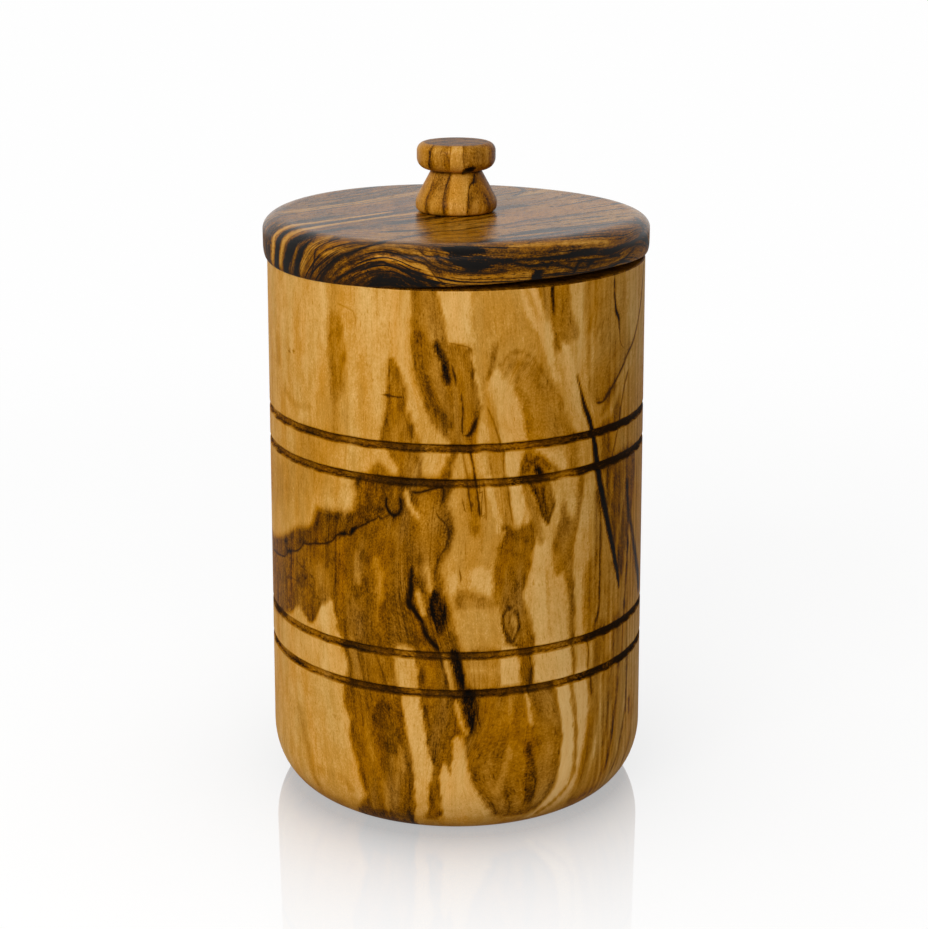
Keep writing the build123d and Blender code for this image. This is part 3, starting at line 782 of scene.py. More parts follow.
JAR_FIBRES = Fibres(
    guides=(
        (-150.0, ((-6, -150), (140, -150))),
        (-66.0, ((-6, -66), (140, -66))),
        (-45.0, ((-6, -43), (14, -44), (40, -46), (90, -45), (140, -45))),
        (-30.0, ((-6, -27), (14, -26), (34, -29), (60, -32), (100, -30), (140, -30))),
        (-16.0, ((-6, -16), (20, -15), (44, -18), (70, -18), (92, -14), (116, -14), (140, -14))),
        (-7.0, ((-6, -7), (22, -6.5), (44, -5), (54, -7), (66, -10.3), (84, -10), (104, -5.5),
            (118, -9.3), (140, -9.6))),
        (0.0, ((-6, 2), (10, -2), (30, 1.4), (44, 0.6), (60, -2), (76, -1), (100, 0), (140, -3))),
        (11.0, ((-6, 4), (8, 9), (20, 3.5), (34, 9), (50, 11), (64, 10), (80, 12), (100, 9), (112, 7.6),
            (140, 6))),
        (20.0, ((-6, 12), (8, 20), (16, 24.5), (28, 26), (44, 19.5), (56, 18), (66, 17.4), (80, 18),
            (96, 15), (110, 13), (122, 19), (140, 15))),
        (27.0, ((-6, 18), (8, 24), (18, 28.6), (30, 29), (46, 28.4), (60, 27), (76, 25), (92, 26),
            (110, 25), (122, 22.4), (140, 22))),
        (32.0, ((-6, 22), (8, 28), (18, 31.4), (32, 34), (50, 32), (66, 33), (80, 35), (98, 33.4),
            (112, 29.6), (140, 31))),
        (40.0, ((-6, 30), (8, 36), (20, 39), (40, 42), (58, 46), (72, 41.6), (88, 36.8), (100, 34.2),
            (112, 30.4), (124, 34), (140, 36))),
        (52.0, ((-6, 40), (12, 46), (24, 50), (44, 52), (60, 57), (76, 51), (90, 49), (106, 47),
            (118, 54), (140, 64))),
        (66.0, ((-6, 60), (30, 64), (70, 66), (140, 70))),
        (150.0, ((-6, 150), (140, 150))),
    ),
)


# The lid's figure


LID_MARKS = (
    Patch(0.46, 2.0, ((-34, -60), (-24, -40), (-10, -8), (4, 20), (18, 60), (60, 60), (60, -10), (46, -8),
        (30, -24), (14, -36), (-4, -41), (-20, -60))),
    stain(0.76, 3.0, 1.4, (-50.5, -16.5), (-40.5, -16.8), (-34, -13), (-28, -8), strength=0.8),
    stain(0.22, 1.9, 0.5, (-56, -21), (-50.5, -20.6), (-40, -19), (-36, -17.5), (-30, -13), (-16, -2)),
    Patch(0.92, 0.35, ((-54, -22.2), (-49, -22.1), (-38.5, -20.9), (-34.5, -20), (-36, -21.7),
        (-39, -22.6), (-43, -23.6), (-47, -24.8), (-54, -25))),
    stain(0.9, 2.0, 1.0, (-35, -20.5), (-30, -17), (-13, -2), (-6, 6), (2, 14)),
    stain(0.22, 1.9, 0.5, (-56, -26.2), (-47.5, -26), (-44, -25.2), (-36, -24), (-33, -22.5),
        (-30, -19.5), (-20, -11.5), (-10, -3.6), (4, 9)),
    Patch(0.99, 0.35, ((-54, -27.4), (-46, -27.4), (-38, -26.5), (-35, -26.6), (-32.4, -27.6),
        (-31.2, -29.2), (-33, -29.6), (-37, -29.4), (-41, -29.9), (-44.8, -29.6), (-54, -30))),
    stain(0.88, 2.4, 1.2, (-32.5, -27.6), (-28, -25.2), (-22, -20), (-15, -16.6), (-8, -12), (16, 8)),
    stain(0.55, 1.0, 0.5, (-45, -30.4), (-38, -30.4), (-33, -30)),
    Patch(0.97, 0.35, ((-54, -31.9), (-42, -31.8), (-38.5, -31.2), (-31.2, -30.6), (-35, -32),
        (-38.5, -32.6), (-40.5, -33.7), (-44, -34), (-54, -34.2))),
    Patch(0.52, 0.8, ((-46, -34.6), (-40, -34), (-36, -32.6), (-30, -31.4), (-26, -33), (-22, -36),
        (-20, -39), (-30, -39.4), (-38, -39.6), (-42, -38.6))),
    stain(0.3, 1.3, 0.6, (-43, -35), (-33, -32.8), (-28, -32)),
    stain(0.62, 2.0, 0.9, (-40, -38.2), (-36, -37.6), (-32, -38.6), (-27, -38.7)),
    stain(0.3, 1.1, 0.6, (-31, -36), (-28, -37.5), (-25, -38.5)),
    line(0.98, 0.46, (-38.6, -37.5), (-36, -37), (-32.5, -35), (-31.5, -34.3), (-28, -34.2),
        (-25, -33.5)),
    line(0.98, 0.81, (-37.6, -40.4), (-34, -40), (-31, -40), (-28, -39.6), (-25.5, -39.6), (-23, -40.2),
        (-17, -39.7), (-15.5, -39.2)),
    Patch(0.5, 0.8, ((-38, -41.4), (-16, -41), (-6, -43.4), (-2.4, -46), (-8, -49), (-15, -44.6),
        (-22, -43.6), (-32, -42.8))),
    line(0.92, 0.41, (-32.6, -42), (-29, -41.8), (-25, -42), (-22, -42.4), (-15, -42.8), (-13, -43.5),
        (-11.5, -44.7), (-8, -45.5)),
    Patch(0.58, 0.8, ((-34, -45), (-29, -44.4), (-20, -45.4), (-14, -47.8), (-8.6, -51), (-6, -56),
        (-34, -56))),
    Patch(0.84, 0.8, ((-21.5, -48.2), (-18, -47.3), (-15, -48.3), (-9.4, -51.3), (-7, -54.5),
        (-14, -54.5), (-19, -51.6))),
    line(0.98, 0.61, (-33, -44.6), (-31.7, -43.3), (-30.5, -43.2), (-25, -43.8), (-22, -44.3),
        (-17, -44.9), (-15.5, -46), (-12, -48.2), (-10, -49), (-8.5, -50.3), (-4.5, -54)),
    line(0.92, 0.41, (-29.5, -46.3), (-26, -45.6), (-21, -46), (-17, -46.6)),
    line(0.88, 0.41, (-28, -47.5), (-24, -46.8), (-20, -46.8), (-17, -47.5), (-15, -48.8), (-12, -50.5),
        (-10, -52.3)),
    line(0.95, 0.41, (-26, -48.7), (-22, -47.9), (-19, -48), (-15.5, -50)),
    stain(0.97, 0.9, 0.35, (-24, -49.3), (-21, -48.8), (-19.4, -49.5)),
    line(0.98, 0.46, (-18.4, -50.4), (-17.4, -49.6), (-16.6, -50.4), (-15.6, -51.6)),
    stain(0.24, 1.3, 0.5, (-17.4, -43.6), (-9.6, -47.4), (-6.6, -49.6), (-2, -54)),
    line(0.85, 0.38, (-14.5, -43.3), (-12.5, -44.5), (-10.5, -46.5), (-8, -47.2), (-6.3, -48.3),
        (-5, -51), (-3.5, -52.6), (-2, -54)),
    line(0.95, 0.46, (-8, -44.2), (-6.5, -45.8), (-4.5, -46.3), (-3.3, -46)),
    line(0.95, 0.41, (-4.5, -46.3), (-3.5, -47.5), (-2, -48.5), (0, -49)),
    line(0.9, 0.51, (-10.5, -45.3), (-8.5, -45.6), (-7, -46.5), (-5.5, -48), (-1.5, -50), (5, -50.6),
        (9, -50.3), (13, -49)),
    Patch(0.54, 0.7, ((6, -43.4), (10, -43), (20, -39.8), (28, -35.4), (34, -30), (39, -25), (42, -18),
        (46, -18), (46, -28), (38, -36), (28, -43.6), (18, -47.4), (8, -47.4))),
    Patch(0.34, 0.7, ((-3.6, -51), (4, -51.2), (12, -49.8), (19, -48.2), (20.6, -50.6), (14, -54.6),
        (-1, -56))),
    stain(0.66, 2.0, 1.0, (8, -44.6), (14, -43.8), (20, -41.8), (27, -38)),
    stain(0.5, 1.2, 0.7, (14, -41.8), (22, -38.6), (30, -34), (36, -28.6)),
    stain(0.3, 1.0, 0.6, (12, -42.8), (20, -40), (28, -36), (34, -31.4)),
    Patch(0.99, 0.3, ((-3.2, -43.8), (-2.5, -44.6), (-1.5, -45.8), (0, -46.3), (4, -46.1), (6.6, -44.8),
        (5, -44), (3, -43.6), (-2, -43.5))),
    Patch(0.8, 0.4, ((-1.6, -46.2), (2, -46.9), (8, -46.9), (9.2, -47.2), (8, -48.2), (5, -49.9),
        (1, -48.6), (-0.5, -47.3))),
    line(0.98, 0.76, (-1.4, -46.6), (0, -48), (2, -49), (4, -49.8), (6, -49), (8.5, -47.5), (10.4, -47)),
    stain(0.97, 0.9, 0.3, (7.6, -47, 0.5), (12, -46.5, 0.6), (15, -45.8, 0.6), (17, -45.2, 0.8),
        (20, -44.2, 0.8), (23, -42.8, 1.1), (26, -41, 1.2), (32, -36.4, 1.9), (35, -34.4, 2.0),
        (37.4, -32, 1.7), (41, -26.4, 1.1), (42.6, -23.6, 0.9), (43.6, -20.4, 0.8), (44.2, -17.4, 0.9),
        (46, -14.4, 1.1), (49, -11.4, 1.2), (52, -8, 1.2)),
    stain(0.97, 0.9, 0.3, (44.4, -16.4), (42.6, -11.6), (42, -8), strength=0.8),
    line(0.98, 0.51, (10, -47.2), (13, -47), (17, -47), (20, -46), (26, -43.8), (29.5, -43.2)),
    line(0.98, 0.51, (29.5, -43.2), (33, -40.5), (34, -38.5)),
    line(0.98, 0.56, (32, -46.6), (30.4, -43), (30.2, -40.5), (32, -39.5), (34.4, -37.6)),
    stain(0.93, 0.9, 0.35, (28, -48), (28.6, -45.6), (29.6, -43.4)),
    Patch(0.44, 0.7, ((20, -46.8), (28, -44), (34, -39.6), (40, -33.4), (44, -27), (47, -18), (56, -8),
        (56, -26), (44, -38), (30, -47), (26, -48.4))),
    Patch(0.94, 0.4, ((19.6, -47.6), (22.2, -47), (21, -48.4), (24, -48.9), (27.4, -47.8), (29, -48.4),
        (26, -52), (20, -53), (19.4, -50))),
    line(0.98, 0.66, (41, -35.4), (43.5, -29), (44.5, -22.6)),
    line(0.98, 0.66, (37.8, -33.6), (40, -31.5), (41.2, -29.8)),
    line(0.6, 0.5, (46.4, -27), (47, -23), (46.8, -19.6)),
    line(0.55, 0.5, (49, -26), (50.4, -21), (50.4, -16)),
    stain(0.8, 1.0, 0.6, (-8, -29.2), (-3, -27.2), (0.6, -26.6), (3.4, -23.6), (6.6, -20.8),
        (10.6, -19.6), (16, -14), (22, -10), (40, 4)),
    stain(0.97, 1.4, 0.6, (-0.4, -26.8), (1.2, -26)),
    stain(0.88, 0.8, 0.5, (-5, -18.4), (0, -15), (5, -11), (11, -5)),
    stain(0.86, 1.0, 0.7, (-16.4, -39), (-13, -36.5), (-10, -33), (-6, -29.8)),
    stain(0.86, 1.1, 0.7, (3, -42), (14, -36.8), (28, -27.6)),
    stain(0.9, 1.4, 0.8, (10, -35), (14, -32), (26, -26), (36, -18), (44, -11.6)),
    stain(0.88, 1.0, 0.6, (10.6, -24), (24, -14), (34, -8)),
    stain(0.6, 4.0, 2.0, (-21, -20), (-17, -15.6)),
    stain(0.56, 3.0, 1.6, (-13.4, -26.6), (-12.4, -25.6)),
    stain(0.58, 3.0, 1.6, (-34, 6), (-33.4, 7.6)),
    stain(0.3, 2.6, 1.2, (-40, -2), (-28, 8), (-16, 20), (-4, 34), (4, 46)),
    stain(0.66, 1.6, 1.0, (-46, 4), (-34, 16), (-22, 30), (-12, 46), (-8, 56)),
    stain(0.28, 2.2, 1.0, (-52, 12), (-42, 22), (-32, 34), (-24, 50)),
    stain(0.8, 1.0, 0.6, (-54, 16), (-46, 26), (-30, 50)),
    stain(0.68, 1.8, 1.0, (8, 4), (20, 14), (30, 28), (38, 44)),
    stain(0.3, 2.2, 1.0, (0, 6), (12, 18), (22, 32), (28, 50)),
    stain(0.85, 1.0, 0.6, (14, 22), (17, 32), (15, 40), (16, 54)),
    line(0.98, 0.66, (24, 6), (34, 18), (42, 32)),
    line(0.95, 0.56, (30, 2), (42, 14), (50, 24)),
    stain(0.97, 1.2, 0.5, (38, 10), (46, 22), (49, 26)),
)

LID_FIBRES = Fibres(
    guides=(
        (-54.0, ((-58, -47), (-20, -47), (-8, -54), (6, -56), (24, -53), (40, -44), (58, -30))),
        (-48.0, ((-58, -41), (-36, -40.6), (-18, -41.4), (-8, -46), (2, -50), (14, -48.6), (26, -43.8),
            (38, -35), (45, -22), (58, -4))),
        (-44.0, ((-58, -37), (-38, -37.4), (-24, -38.6), (-12, -41), (4, -44.6), (16, -43.4), (28, -37.6),
            (38, -29), (44, -16), (58, 4))),
        (-36.0, ((-58, -34), (-40, -34), (-26, -34), (-14, -37), (-2, -37.6), (10, -35), (22, -28),
            (36, -18), (43, -12), (58, 6))),
        (-30.0, ((-58, -31.4), (-42, -31), (-28, -29), (-14, -31), (-4, -28), (0.6, -26.5), (10, -20),
            (22, -10), (40, 4), (58, 16))),
        (-24.0, ((-58, -28.6), (-42, -28.4), (-32, -27.4), (-22, -20.4), (-8, -12.4), (5, -3), (20, 9),
            (40, 26), (58, 38))),
        (-15.0, ((-58, -23.4), (-46, -23.2), (-38, -21.8), (-30, -17), (-20, -9), (-8, 2), (6, 16),
            (20, 30), (36, 46), (58, 66))),
        (-6.0, ((-58, -10), (-44, -8), (-34, 0), (-20, 12), (-6, 28), (6, 44), (20, 60), (58, 96))),
        (6.0, ((-58, 4), (-46, 14), (-34, 26), (-22, 40), (-10, 58), (20, 90), (58, 130))),
        (16.0, ((-58, 20), (-44, 34), (-30, 50), (-10, 76), (58, 160))),
    ),
)


# The knob's figure


KNOB_MARKS = (
    Patch(0.45, 0.8, ((-7.6, 143), (-7.8, 153), (-6.8, 163), (-1.6, 163), (-1.6, 143))),
    Patch(0.47, 0.9, ((2.8, 143), (3, 149), (7, 154), (2, 156), (1.8, 163), (14, 163), (14, 143))),
    Patch(0.27, 0.5, ((-1.9, 143), (-1.9, 154.8), (-1.5, 157), (-1.3, 163), (1.8, 163), (1.8, 157),
        (4.4, 154), (3.4, 151), (2.5, 148), (2.1, 143))),
    stain(0.58, 1.1, 0.4, (-2.4, 144), (-2.4, 152), (-2, 154)),
    stain(0.34, 2.2, 0.9, (-5.6, 145), (-5.4, 147.4)),
    stain(0.34, 1.4, 0.7, (4.4, 145), (4.6, 147.2)),
    stain(0.34, 1.2, 0.6, (6.4, 145), (6.5, 146.8)),
    stain(0.33, 1.6, 0.8, (-5.2, 158), (-5.3, 159.4)),
    stain(0.32, 1.4, 0.7, (8.2, 156.6), (8.3, 159.4)),
    stain(0.7, 0.5, 0.35, (-8.2, 154), (-7.9, 150), (-8, 147), (-7.6, 144.6)),
    stain(0.76, 0.6, 0.35, (-6.6, 161.5), (-6.7, 158), (-7.6, 154.6)),
    line(0.92, 0.4, (-2.1, 154.4), (-2.3, 153, 0.5), (-2.95, 151.5, 0.5), (-3.1, 149), (-2.85, 144.6)),
    line(0.95, 0.32, (-1.3, 161.5), (-1.7, 154.8)),
    line(0.92, 0.3, (2.1, 161.5), (1.72, 159), (1.72, 157.5), (2.5, 155.2)),
    line(0.97, 0.6, (7.4, 154), (5.9, 152.3, 0.7), (5.1, 152), (4.4, 151.5), (3.6, 150.5, 0.4),
        (3.1, 149, 0.35), (2.4, 144.6, 0.3)),
    line(0.7, 0.3, (6.2, 148), (6, 145.2)),
    stain(0.62, 1.2, 0.6, (8.6, 149), (8.8, 145.6)),
    stain(0.96, 1.6, 0.4, (2.5, 154.9), (4.2, 155.4)),
    stain(0.58, 0.6, 0.4, (9.6, 161), (9.4, 158), (9.8, 155.4)),
    Patch(0.52, 1.4, ((11, 143), (11, 163), (22, 163), (21, 143))),
    stain(0.8, 0.5, 0.4, (14, 162), (13.6, 150), (13.8, 144)),
    stain(0.3, 1.8, 0.7, (17, 162), (17.2, 144)),
    stain(0.74, 0.6, 0.4, (20.6, 162), (20.4, 155), (21, 150), (21, 144)),
    Patch(0.34, 1.2, ((24, 143), (24, 163), (34, 163), (35, 143))),
    line(0.85, 0.35, (27.4, 161), (27.6, 156), (27.2, 149), (27.4, 145)),
    line(0.8, 0.3, (31.4, 161), (31.2, 155), (31.4, 147)),
    stain(0.56, 1.6, 0.8, (37.6, 162), (37.8, 144)),
    stain(0.7, 0.5, 0.4, (43, 162), (43.2, 144)),
)


# Node helpers


def linear(red: int, green: int, blue: int) -> tuple[float, float, float, float]:
    """A colour written as screen values, as the linear colour a shader takes.

    It is the usual screen curve undone: a straight line for the darkest values, and above
    them a power of 2.4.

    Args:
        red: the red part, from 0 to 255.
        green: the green part.
        blue: the blue part.

    Returns:
        The linear red, green and blue from 0 to 1, and 1 for solid.
    """
    parts = []
    for part in (red, green, blue):
        value = part / 255.0
        parts.append(value / 12.92 if value <= 0.04045 else ((value + 0.055) / 1.055) ** 2.4)
    return parts[0], parts[1], parts[2], 1.0


class NodeBoard:
    """One node tree, to which nodes are added with their inputs already joined."""

    def __init__(self, tree: bpy.types.NodeTree) -> None:
        """Starts on an empty tree."""
        self.tree = tree
        tree.nodes.clear()

    def add(self, kind: str, inputs: dict | None = None, **settings: object) -> bpy.types.Node:
        """Adds a node, sets it up and joins or fills its inputs.

        Args:
            kind: the node's type name.
            inputs: an output socket or a plain value for each input, by name or number.
            settings: the node's own properties.

        Returns:
            The new node.
        """
        node = self.tree.nodes.new(kind)
        for name, value in settings.items():
            setattr(node, name, value)
        for key, value in (inputs or {}).items():
            if isinstance(value, bpy.types.NodeSocket):
                self.tree.links.new(value, node.inputs[key])
            else:
                node.inputs[key].default_value = value
        return node

    def sum(self, operation: str, *values: object, clamp: bool = False) -> bpy.types.NodeSocket:
        """One step of arithmetic on sockets or numbers, with its result kept in 0 to 1 if asked."""
        pairs = dict(enumerate(values))
        return self.add("ShaderNodeMath", pairs, operation=operation, use_clamp=clamp).outputs[0]

    def mix(self, share: object, start: object, end: object) -> bpy.types.NodeSocket:
        """The straight mix of two numbers."""
        return self.add("ShaderNodeMix", {0: share, 2: start, 3: end}).outputs[0]

    def tint(self, share: object, start: object, end: object) -> bpy.types.NodeSocket:
        """The straight mix of two colours."""
        return self.add("ShaderNodeMix", {0: share, 6: start, 7: end}, data_type="RGBA").outputs[2]

    def ramp(self, value: object, low: float, high: float) -> bpy.types.NodeSocket:
        """An S-shaped ramp from 0 at low to 1 at high."""
        inputs = {"Value": value, "From Min": low, "From Max": high}
        return self.add("ShaderNodeMapRange", inputs, interpolation_type="SMOOTHSTEP").outputs[0]

    def noise(self, vector: object, size: Point, detail: float = 2.0,
              roughness: float = 0.5) -> bpy.types.NodeSocket:
        """Smooth noise about 0.

        Args:
            vector: the place where the noise is read.
            size: how long its grains are along each coordinate.
            detail: how many finer layers it has.
            roughness: how strong the finer layers are.

        Returns:
            The noise, between about -0.5 and 0.5.
        """
        scale = tuple(1.0 / part for part in size)
        mapped = self.add("ShaderNodeMapping", {"Vector": vector, "Scale": scale})
        inputs = {"Vector": mapped.outputs[0], "Scale": 1.0, "Detail": detail,
                  "Roughness": roughness}
        return self.sum("SUBTRACT", self.add("ShaderNodeTexNoise", inputs).outputs[0], 0.5)

    def field(self, name: str, part: str = "Fac") -> bpy.types.NodeSocket:
        """A field that the mesh carries at its points, by name."""
        return self.add("ShaderNodeAttribute", attribute_name=name).outputs[part]

    def object_place(self) -> bpy.types.NodeSocket:
        """The place on the object, in metres."""
        return self.add("ShaderNodeTexCoord").outputs["Object"]

    def seen(self) -> bpy.types.NodeSocket:
        """Whether a ray is one from the camera, mirrored or let through.

        Returns:
            1 for such rays, and 0 for light on its way between surfaces.
        """
        path = self.add("ShaderNodeLightPath").outputs
        seen = self.sum("MAXIMUM", path["Is Camera Ray"], path["Is Glossy Ray"])
        return self.sum("MAXIMUM", seen, path["Is Transmission Ray"])

    def bump(self, strength: float, relief: float, height: object) -> bpy.types.NodeSocket:
        """The surface's direction, tilted by a height whose whole step is relief millimetres."""
        inputs = {"Strength": strength, "Distance": relief * MM, "Height": height}
        return self.add("ShaderNodeBump", inputs).outputs[0]

    def coat(self, inputs: dict) -> None:
        """Ends a material with the all-round shader, set up with its inputs by name."""
        shader = self.add("ShaderNodeBsdfPrincipled", inputs)
        self.add("ShaderNodeOutputMaterial", {"Surface": shader.outputs[0]})


def new_material(name: str) -> tuple[bpy.types.Material, NodeBoard]:
    """A new material.

    Args:
        name: what it is called.

    Returns:
        The material and a board on its empty node tree.
    """
    material = bpy.data.materials.new(name)
    material.use_nodes = True
    return material, NodeBoard(material.node_tree)


SOCKETS = {"value": "NodeSocketFloat", "vector": "NodeSocketVector", "colour": "NodeSocketColor"}


class SharedGroup:
    """A shader node group that several finishes use, built once."""

    name = ""
    takes: dict[str, str] = {}
    gives: dict[str, str] = {}

    @classmethod
    def tree(cls) -> bpy.types.NodeTree:
        """The group's tree, made at its first use.

        Returns:
            The node tree that every finish with this group shares.
        """
        found = bpy.data.node_groups.get(cls.name)
        if found:
            return found
        tree = bpy.data.node_groups.new(cls.name, "ShaderNodeTree")
        for name, kind in cls.takes.items():
            tree.interface.new_socket(name=name, in_out="INPUT", socket_type=SOCKETS[kind])
        for name, kind in cls.gives.items():
            tree.interface.new_socket(name=name, in_out="OUTPUT", socket_type=SOCKETS[kind])
        board = NodeBoard(tree)
        source = board.add("NodeGroupInput")
        board.add("NodeGroupOutput", cls.work(board, source.outputs))
        return tree

    @classmethod
    def work(cls, board: NodeBoard, given: object) -> dict:
        """Builds the group's nodes and gives the sockets that leave it."""
        raise NotImplementedError

    @classmethod
    def place(cls, board: NodeBoard, **inputs: object) -> bpy.types.Node:
        """Places the group in a material.

        Args:
            board: the material's board.
            inputs: an output socket or a plain value for each of the group's inputs, whose
                names are written with a capital there.

        Returns:
            The group's node.
        """
        named = {name.capitalize(): value for name, value in inputs.items()}
        return board.add("ShaderNodeGroup", named, node_tree=cls.tree())


class FibreGrain(SharedGroup):
    """Fibres, growth bands, clouds, speckles and pores, drawn out along the grain.

    The grain vector is (fibre number, depth, way along), in millimetres. Shade is added to the
    tone, Shift is how far fibres pull an edge aside, and Height is for the bump.
    """

    name = "fibre_grain"
    takes = {"Grain": "vector", "Fine": "value", "Broad": "value", "Mottle": "value",
             "Cloud": "value", "Bands": "value"}
    gives = {"Shade": "value", "Shift": "value", "Height": "value", "Pores": "value"}

    @classmethod
    def work(cls, board: NodeBoard, given: object) -> dict:
        """Adds up noises of several lengths, and cuts the bands and pores out of others.

        Each noise's size is across the fibres, into the wood and along them, in millimetres.

        Args:
            board: the group's board.
            given: the group's inputs.

        Returns:
            A socket for each output.
        """
        grain = given["Grain"]
        fine = board.noise(grain, (0.34, 0.5, 5.0), 3.0, 0.65)
        strands = board.noise(grain, (1.1, 1.6, 14.0), 3.0, 0.6)
        broad = board.noise(grain, (3.4, 5.0, 30.0), 3.0, 0.6)
        mottle = board.noise(grain, (0.3, 0.3, 0.5), 2.0, 0.7)
        cloud = board.noise(grain, (2.4, 2.4, 5.0), 4.0, 0.68)
        thread = board.noise(grain, (0.62, 4.0, 40.0), 2.0, 0.6)
        fading = board.noise(grain, (7.0, 8.0, 16.0), 2.0, 0.5)
        bands = board.ramp(thread, 0.02, 0.2)
        bands = board.sum("MULTIPLY", bands, board.ramp(fading, -0.16, 0.12))
        dash = board.noise(grain, (0.2, 0.2, 1.7), 0.0)
        pores = board.ramp(dash, 0.17, 0.27)
        shade = board.sum("MULTIPLY", fine, given["Fine"])
        shares = ((strands, "Broad"), (broad, "Broad"), (mottle, "Mottle"), (cloud, "Cloud"),
                  (bands, "Bands"))
        for part, share in shares:
            shade = board.sum("MULTIPLY_ADD", part, given[share], shade)
        shift = board.sum("ADD", fine, board.sum("MULTIPLY", mottle, 0.8))
        height = board.sum("MULTIPLY_ADD", pores, -0.55, fine)
        return {"Shade": shade, "Shift": shift, "Height": height, "Pores": pores}


class ThinLines(SharedGroup):
    """Draws three layers of thin dark lines over a tone.

    Each layer's line covers the tone where the distance to it is less than its half width, with
    an edge as wide as Soft, and a faint stain lies beside it. Noise moves the line a little and
    lightens it here and there.
    """

    name = "thin_lines"
    takes = {"Tone": "value", "Offset": "vector", "Half": "vector", "Depth": "vector",
             "Grain": "vector", "Soft": "value"}
    gives = {"Tone": "value", "Cover": "value"}

    @classmethod
    def work(cls, board: NodeBoard, given: object) -> dict:
        """Mixes the tone towards each layer's own darkness by how much its line covers.

        Args:
            board: the group's board.
            given: the group's inputs.

        Returns:
            A socket for each output.
        """
        parts = {}
        for name in ("Offset", "Half", "Depth"):
            parts[name] = board.add("ShaderNodeSeparateXYZ", {0: given[name]}).outputs
        wander = board.noise(given["Grain"], (1.3, 1.3, 2.4), 2.0, 0.6)
        swell = board.noise(given["Grain"], (1.2, 1.2, 1.8), 2.0, 0.6)
        tone, cover = given["Tone"], 0.0
        for layer in range(3):
            moved = board.sum("MULTIPLY_ADD", wander, 0.55, parts["Offset"][layer])
            inside = board.sum("SUBTRACT", parts["Half"][layer], board.sum("ABSOLUTE", moved))
            wide = board.sum("MULTIPLY_ADD", parts["Half"][layer], 0.35, inside)
            share = board.sum("DIVIDE", wide, given["Soft"], clamp=True)
            weak = board.sum("MULTIPLY_ADD", swell, 2.4, 0.95, clamp=True)
            share = board.sum("MULTIPLY", share, weak)
            beside = board.sum("MULTIPLY_ADD", parts["Half"][layer], 2.5, inside, clamp=True)
            beside = board.sum("MULTIPLY", beside, board.sum("ADD", weak, 0.2))
            tone = board.sum("MULTIPLY_ADD", beside, 0.12, tone)
            tone = board.mix(share, tone, parts["Depth"][layer])
            cover = board.sum("MAXIMUM", cover, share)
        return {"Tone": tone, "Cover": cover}


class OliveColour(SharedGroup):
    """Olive wood's colour for a tone, from cream sapwood through honey and brown to black."""

    name = "olive_colour"
    takes = {"Tone": "value", "Grain": "vector"}
    gives = {"Colour": "colour"}
    stops = (
        (0.00, (246, 206, 140)),
        (0.15, (233, 184, 112)),
        (0.30, (207, 150, 68)),
        (0.45, (182, 124, 43)),
        (0.60, (145, 91, 18)),
        (0.72, (102, 60, 6)),
        (0.84, (62, 35, 5)),
        (0.93, (30, 16, 3)),
        (1.00, (8, 5, 3)),
    )

    @classmethod
    def work(cls, board: NodeBoard, given: object) -> dict:
        """Reads the colour off a ramp, then warms or greys it a little in long patches.

        Args:
            board: the group's board.
            given: the group's inputs.

        Returns:
            The colour's socket.
        """
        node = board.add("ShaderNodeValToRGB", {0: given["Tone"]})
        ramp = node.color_ramp
        while len(ramp.elements) < len(cls.stops):
            ramp.elements.new(0.5)
        for element, (place, colour) in zip(ramp.elements, cls.stops):
            element.position = place
            element.color = linear(*colour)
        patchy = board.noise(given["Grain"], (6.0, 6.0, 22.0), 2.0, 0.5)
        warm = board.sum("MULTIPLY_ADD", patchy, 0.02, 0.5)
        vivid = board.sum("MULTIPLY_ADD", patchy, -0.15, 1.03)
        inputs = {"Hue": warm, "Saturation": vivid, "Color": node.outputs[0]}
        return {"Colour": board.add("ShaderNodeHueSaturation", inputs).outputs[0]}


class ScorchAndShade(SharedGroup):
    """The scorched wood of a ring groove, and painted shade on the lid's lowest edge, in the knob's
    crease and under its foot: black where the field is strong, and brown where not.
    """

    name = "scorch_and_shade"
    takes = {"Tone": "value", "Burn": "value", "Grain": "vector"}
    gives = {"Tone": "value", "Cover": "value"}

    @classmethod
    def work(cls, board: NodeBoard, given: object) -> dict:
        """Draws the tone towards black by the field of scorching and painted shade, broken up along the
        groove.

        Args:
            board: the group's board.
            given: the group's inputs.

        Returns:
            A socket for each output.
        """
        broken = board.noise(given["Grain"], (0.8, 0.8, 0.35), 3.0, 0.7)
        patchy = board.noise(given["Grain"], (9.0, 9.0, 5.0), 2.0, 0.5)
        rough = board.sum("MULTIPLY_ADD", broken, 1.7, board.sum("MULTIPLY", patchy, 1.1))
        heat = board.sum("ADD", rough, 0.9)
        heat = board.sum("MULTIPLY", heat, given["Burn"], clamp=True)
        tone = board.mix(heat, given["Tone"], 0.93)
        return {"Tone": tone, "Cover": heat}


class EdgeWearAndHighlight(SharedGroup):
    """Lightens and smooths a turned edge, partly from the rubbing of hands and tools and partly as
    a painted highlight along it.
    """

    name = "edge_wear"
    takes = {"Tone": "value", "Wear": "value", "Grain": "vector"}
    gives = {"Tone": "value", "Rubbed_and_lit": "value"}

    @classmethod
    def work(cls, board: NodeBoard, given: object) -> dict:
        """Takes a little off the tone along the edge, broken up by noise.

        Args:
            board: the group's board.
            given: the group's inputs.

        Returns:
            A socket for each output.
        """
        broken = board.noise(given["Grain"], (1.1, 1.1, 1.6), 2.0, 0.6)
        share = board.sum("MULTIPLY_ADD", broken, 1.6, 0.6, clamp=True)
        rubbed_and_lit = board.sum("MULTIPLY", share, given["Wear"])
        return {"Tone": board.sum("MULTIPLY_ADD", rubbed_and_lit, -0.08, given["Tone"]),
                "Rubbed_and_lit": rubbed_and_lit}


# Finishes


